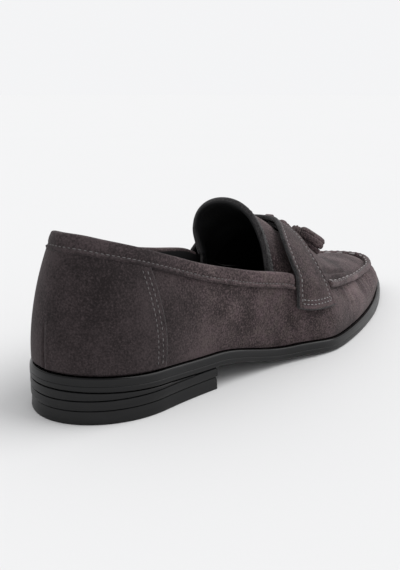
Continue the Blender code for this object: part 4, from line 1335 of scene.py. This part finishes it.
def buildStrap():
    back, front = strapShape["back"], strapShape["front"]
    rows = []
    for value in np.linspace(0, 1, 6):
        side, top, crest = (b + (f - b) * value for b, f in zip(back, front))
        ahead = strapShape["inner ahead"][0] * (1 - value) + strapShape["inner ahead"][1] * value
        line, out = strapLine(side, top, crest, ahead, 1.0 - 0.38 * value)
        rows.append(line + out * 2 * last["gap"])
    base = refine(refine(np.array(rows), 7, 1), 7, 0)
    out = surfaceNormals(base)
    wide, long = runAlong(base), runAlong(base, 1)
    toSide = np.minimum(wide, wide[-1:] - wide)
    toEnd = np.minimum(long, long[:, -1:] - long)
    inset = strapShape["stitch in"]
    groove = sum(hump(away, inset, strapShape["groove half"]) for away in (toSide, toEnd))
    roll = strapShape["roll"] * hump(np.minimum(toSide, toEnd), 0, strapShape["roll half"])
    lift = strapShape["thickness"] - strapShape["groove"] * groove + roll
    outer = base + out * (lift + 0.20 * mm * softNoise(base, 0.022, 21))[..., None]
    piece = slab("strap_dressed", outer, base, [suedeStrap, lining, edgeGrey], (0.7, 0.7, 0.7, 0.7),
                 fuzz=0.05 * mm)
    finish(piece, "suede", "strap")

    def trace(distance, end, away, along, points, normals, trim):
        # Line at a distance from one edge, left out where it would run into the corners
        line, ups = [], []
        for j in np.nonzero(np.minimum(along, along[-1] - along) >= trim)[0]:
            at = distance if end == 0 else away[-1, j] - distance
            line.append(alongLine(at, away[:, j], points[:, j]))
            ups.append(alongLine(at, away[:, j], normals[:, j]))
        return np.array(line), unit(np.array(ups))

    sides = (wide, long[0], outer, out, inset)
    ends = (long.T, wide[:, 0], outer.swapaxes(0, 1), out.swapaxes(0, 1), inset * 0.9)
    lines = [trace(inset, end, *sides) for end in (0, -1)]
    lines += [trace(inset * row, end, *ends) for end in (0, -1) for row in (1, 1.9)]
    stitches("strap_stitches", lines, strapShape["pitch"], strapShape["stitch"], threadPale, -0.06 * mm)


buildStrap()


# Lace, knot and tassels
tasselShape = {
    "lace width": 0.0044, "lace thickness": 0.0018, "knot": 0.0032, "knot ahead": 0.030,
    "neck rise": 0.0012, "neck length": 0.0045, "strand": 1.10 * mm, "strand apart": 0.90 * mm,
    "head": 0.0044, "head length": 0.0050, "skirt": 0.0071, "skirt length": 0.0150,
    "strips": 8, "strip thickness": 1.1 * mm,
    "core sizes": (0.50, 0.66, 0.76, 0.80, 0.84, 0.86, 0.86, 0.86, 0.85, 0.82, 0.74, 0.45),
    "strip sizes": ((0, 0.72), (0.10, 0.90), (0.42, 1.0), (0.82, 1.02), (0.93, 0.99), (1.0, 0.82)),
    "outer": (-46, 33), "inner": (32, 25),  # turn and dip in degrees
}


def crestAt(share):
    return np.array([curveThrough(crestRows, 2, share) * last["toe offset"] + centreShift,
                     lengthToY(share), curveThrough(crestRows, 1, share) * last["crest"]])


def tasselFrame(turn, dip):
    along = np.array([math.sin(turn) * math.cos(dip), -math.cos(turn) * math.cos(dip), -math.sin(dip)])
    side = unit(np.cross(along, (0.0, 0.0, 1.0)))
    return along, side, np.cross(side, along)


def knotPlace():
    knot = crestAt(strapShape["front"][2] + tasselShape["knot ahead"])
    knot[2] += tasselShape["knot"] * 0.92
    return knot


def joinPieces(name, parts, materials):
    vertices, faces, slots = [], [], []
    total = 0
    for points, polygons, slot in parts:
        vertices.append(points)
        faces += [tuple(total + i for i in face) for face in polygons]
        slots += [slot] * len(polygons)
        total += len(points)
    return makePiece(name, np.concatenate(vertices), faces, materials, slots)


def tube(line, radius, sides, ups):
    # Closed tube along a line, with flat ends
    line = np.asarray(line, float)
    radius = np.broadcast_to(np.asarray(radius, float), len(line))[:, None, None]
    along = unit(np.gradient(line, axis=0))
    side = unit(np.cross(along, ups))
    up = np.cross(side, along)
    angles = (2 * np.pi * np.arange(sides) / sides)[:, None]
    points = line[:, None] + (side[:, None] * np.cos(angles) + up[:, None] * np.sin(angles)) * radius
    faces = []
    for i in range(len(line) - 1):
        for k in range(sides):
            n = (k + 1) % sides
            faces.append((i * sides + k, (i + 1) * sides + k, (i + 1) * sides + n, i * sides + n))
    faces.append(list(range(sides)))
    faces.append([(len(line) - 1) * sides + k for k in range(sides)][::-1])
    return points.reshape(-1, 3), faces


def upFor(line):
    return np.array([0, 0, 1.0]) + line * 0


def neckEnd(key):
    # Where a tassel's neck ends, with the tassel's own directions
    along, side, up = tasselFrame(*(math.radians(v) for v in tasselShape[key]))
    reach = tasselShape["knot"] + tasselShape["neck length"]
    return knotPlace() + along * reach + up * tasselShape["neck rise"], along, side, up


def tasselStrip(start, along, side, up, middle, rng):
    # A bent slab round the core, with a rounded free end
    headLength, skirtLength = tasselShape["head length"], tasselShape["skirt length"]
    half = math.pi / tasselShape["strips"] * 0.965
    reach = skirtLength * (1.02 - 0.025 * rng.random())
    lift = 0.05 * mm * rng.normal()
    lean = 0.015 * rng.normal()
    run = np.concatenate([np.linspace(0, 0.8, 14), [0.86, 0.91, 0.95, 0.98, 1.0]])[:, None]
    width = np.linspace(-1, 1, 13)
    flat = np.interp(run, [0, 0.12, 0.42, 0.80, 1.0], [1.0, 0.96, 0.90, 0.88, 0.88])
    angle = middle + half * width + lean * run
    size = curveThrough(tasselShape["strip sizes"], 1, run) * tasselShape["skirt"]
    size = size + lift * run - 0.55 * mm * np.abs(width) ** 5
    length = headLength * 0.92 + reach * run - 0.7 * mm * run ** 8 * np.abs(width) ** 3
    grid = (start + along * length[..., None] + side * (np.cos(angle) * size)[..., None]
            + up * (np.sin(angle) * size * flat)[..., None])
    centre = start + along * (headLength * 0.92 + reach * run)[..., None]
    inner = grid - unit(grid - centre) * tasselShape["strip thickness"]
    rows, columns = grid.shape[:2]
    total = rows * columns
    skin = gridFaces(rows, columns)
    border = gridBorder(rows, columns)
    following = np.roll(border, -1)
    rim = np.stack([border, following, following + total, border + total], -1)
    faces = np.concatenate([skin[:, ::-1], skin + total, rim[:, ::-1]])
    return np.concatenate([grid.reshape(-1, 3), inner.reshape(-1, 3)]), [tuple(f) for f in faces], 0


def buildTassel(key, seed):
    start, *frame = neckEnd(key)
    along, _, up = frame
    rng = np.random.default_rng(seed)
    headLength, skirtLength = tasselShape["head length"], tasselShape["skirt length"]
    # Bound head: a soft drum with three wraps
    steps = np.linspace(0, 1, 24)
    radius = tasselShape["head"] * (0.55 + 0.45 * np.sin(np.pi * np.clip(steps, 0.04, 0.96)) ** 0.35)
    radius = radius * (1 + 0.06 * np.cos(2 * np.pi * steps * 3))
    parts = [(*tube(start + along * (steps * headLength)[:, None], radius, 28, up), 0)]
    core = start + along * (headLength * 0.9 + np.linspace(0, skirtLength * 0.94, 12))[:, None]
    sizes = tasselShape["skirt"] * np.array(tasselShape["core sizes"])
    parts.append((*tube(core, sizes, 24, up), 1))
    for i in range(tasselShape["strips"]):
        middle = 2 * math.pi * (i + 0.5) / tasselShape["strips"]
        parts.append(tasselStrip(start, *frame, middle, rng))
    piece = joinPieces(f"tassel_{key}_dressed", parts, [suedeTassel, edgeGrey])
    finish(piece, "suede_edge", f"tassel_{key}")


def laceBand():
    # From under the strap's front edge down to the apron and up into the knot
    back, front = strapShape["back"][2], strapShape["front"][2]
    lift = strapShape["thickness"] + 3 * last["gap"] + 0.6 * mm
    places = np.linspace(back * 0.32 + front * 0.68, front + tasselShape["knot ahead"] * 0.7, 9)
    lifts = np.interp(places, [front - 0.004, front + 0.014], [lift, 0.5 * mm])
    line = [crestAt(place) + np.array([0, 0, rise + tasselShape["lace thickness"] / 2])
            for place, rise in zip(places, lifts)]
    line[0][2] -= 1.8 * mm
    line.append(knotPlace() + np.array([0, -0.001, 0.0006]))
    line = refine(np.array(line), 6, 0)
    points, faces = tube(line, tasselShape["lace width"] / 2, 20, upFor(line))
    # Flattened to the lace's thickness, with squarer sides
    away = points.reshape(len(line), 20, 3) - line[:, None]
    half = tasselShape["lace thickness"] / 2
    away[..., 2] = np.clip(away[..., 2] * 1.6, -half, half)
    return (away + line[:, None]).reshape(-1, 3), faces, 1


def buildLace():
    knot, size = knotPlace(), tasselShape["knot"]
    parts = [laceBand()]
    # Knot: two turns of the lace round each other, and a core
    turns = np.linspace(0, 2 * np.pi, 48)
    for tilt, shift in ((0.35, -0.9 * mm), (-0.5, 0.9 * mm)):
        ring = np.stack([np.cos(turns) * size * 0.72 * math.cos(tilt) + shift,
                         np.sin(turns) * size * 0.72 * math.sin(tilt) + shift * 0.3,
                         np.sin(turns) * size * 0.58], -1) + knot
        parts.append((*tube(ring, 1.15 * mm, 14, unit(ring - knot + 1e-6)), 0))
    ball = np.linspace(-1, 1, 16)
    line = knot + np.array([1.0, 0, 0]) * (ball * size * 0.95)[:, None]
    radius = size * 0.72 * np.sqrt(np.clip(1 - ball ** 2, 0.02, 1))
    parts.append((*tube(line, radius, 20, upFor(line)), 0))
    # Two twisted strands to each tassel
    for key in ("outer", "inner"):
        end, along, side, up = neckEnd(key)
        end = end - along * last["gap"]
        line = refine(np.array([knot, (knot + end) / 2 + up * 0.5 * mm, end]), 10, 0)
        for phase in (0.0, math.pi):
            spin = (np.linspace(0, 2 * math.pi, len(line)) + phase)[:, None]
            strand = line + (side * np.cos(spin) + up * np.sin(spin)) * tasselShape["strand apart"]
            parts.append((*tube(strand, tasselShape["strand"], 12, upFor(line)), 0))
    piece = joinPieces("tassel_lace_dressed", parts, [suedeTassel, suedeLace])
    finish(piece, "suede_edge", "tassel_lace")


buildLace()
buildTassel("outer", 4)
buildTassel("inner", 9)
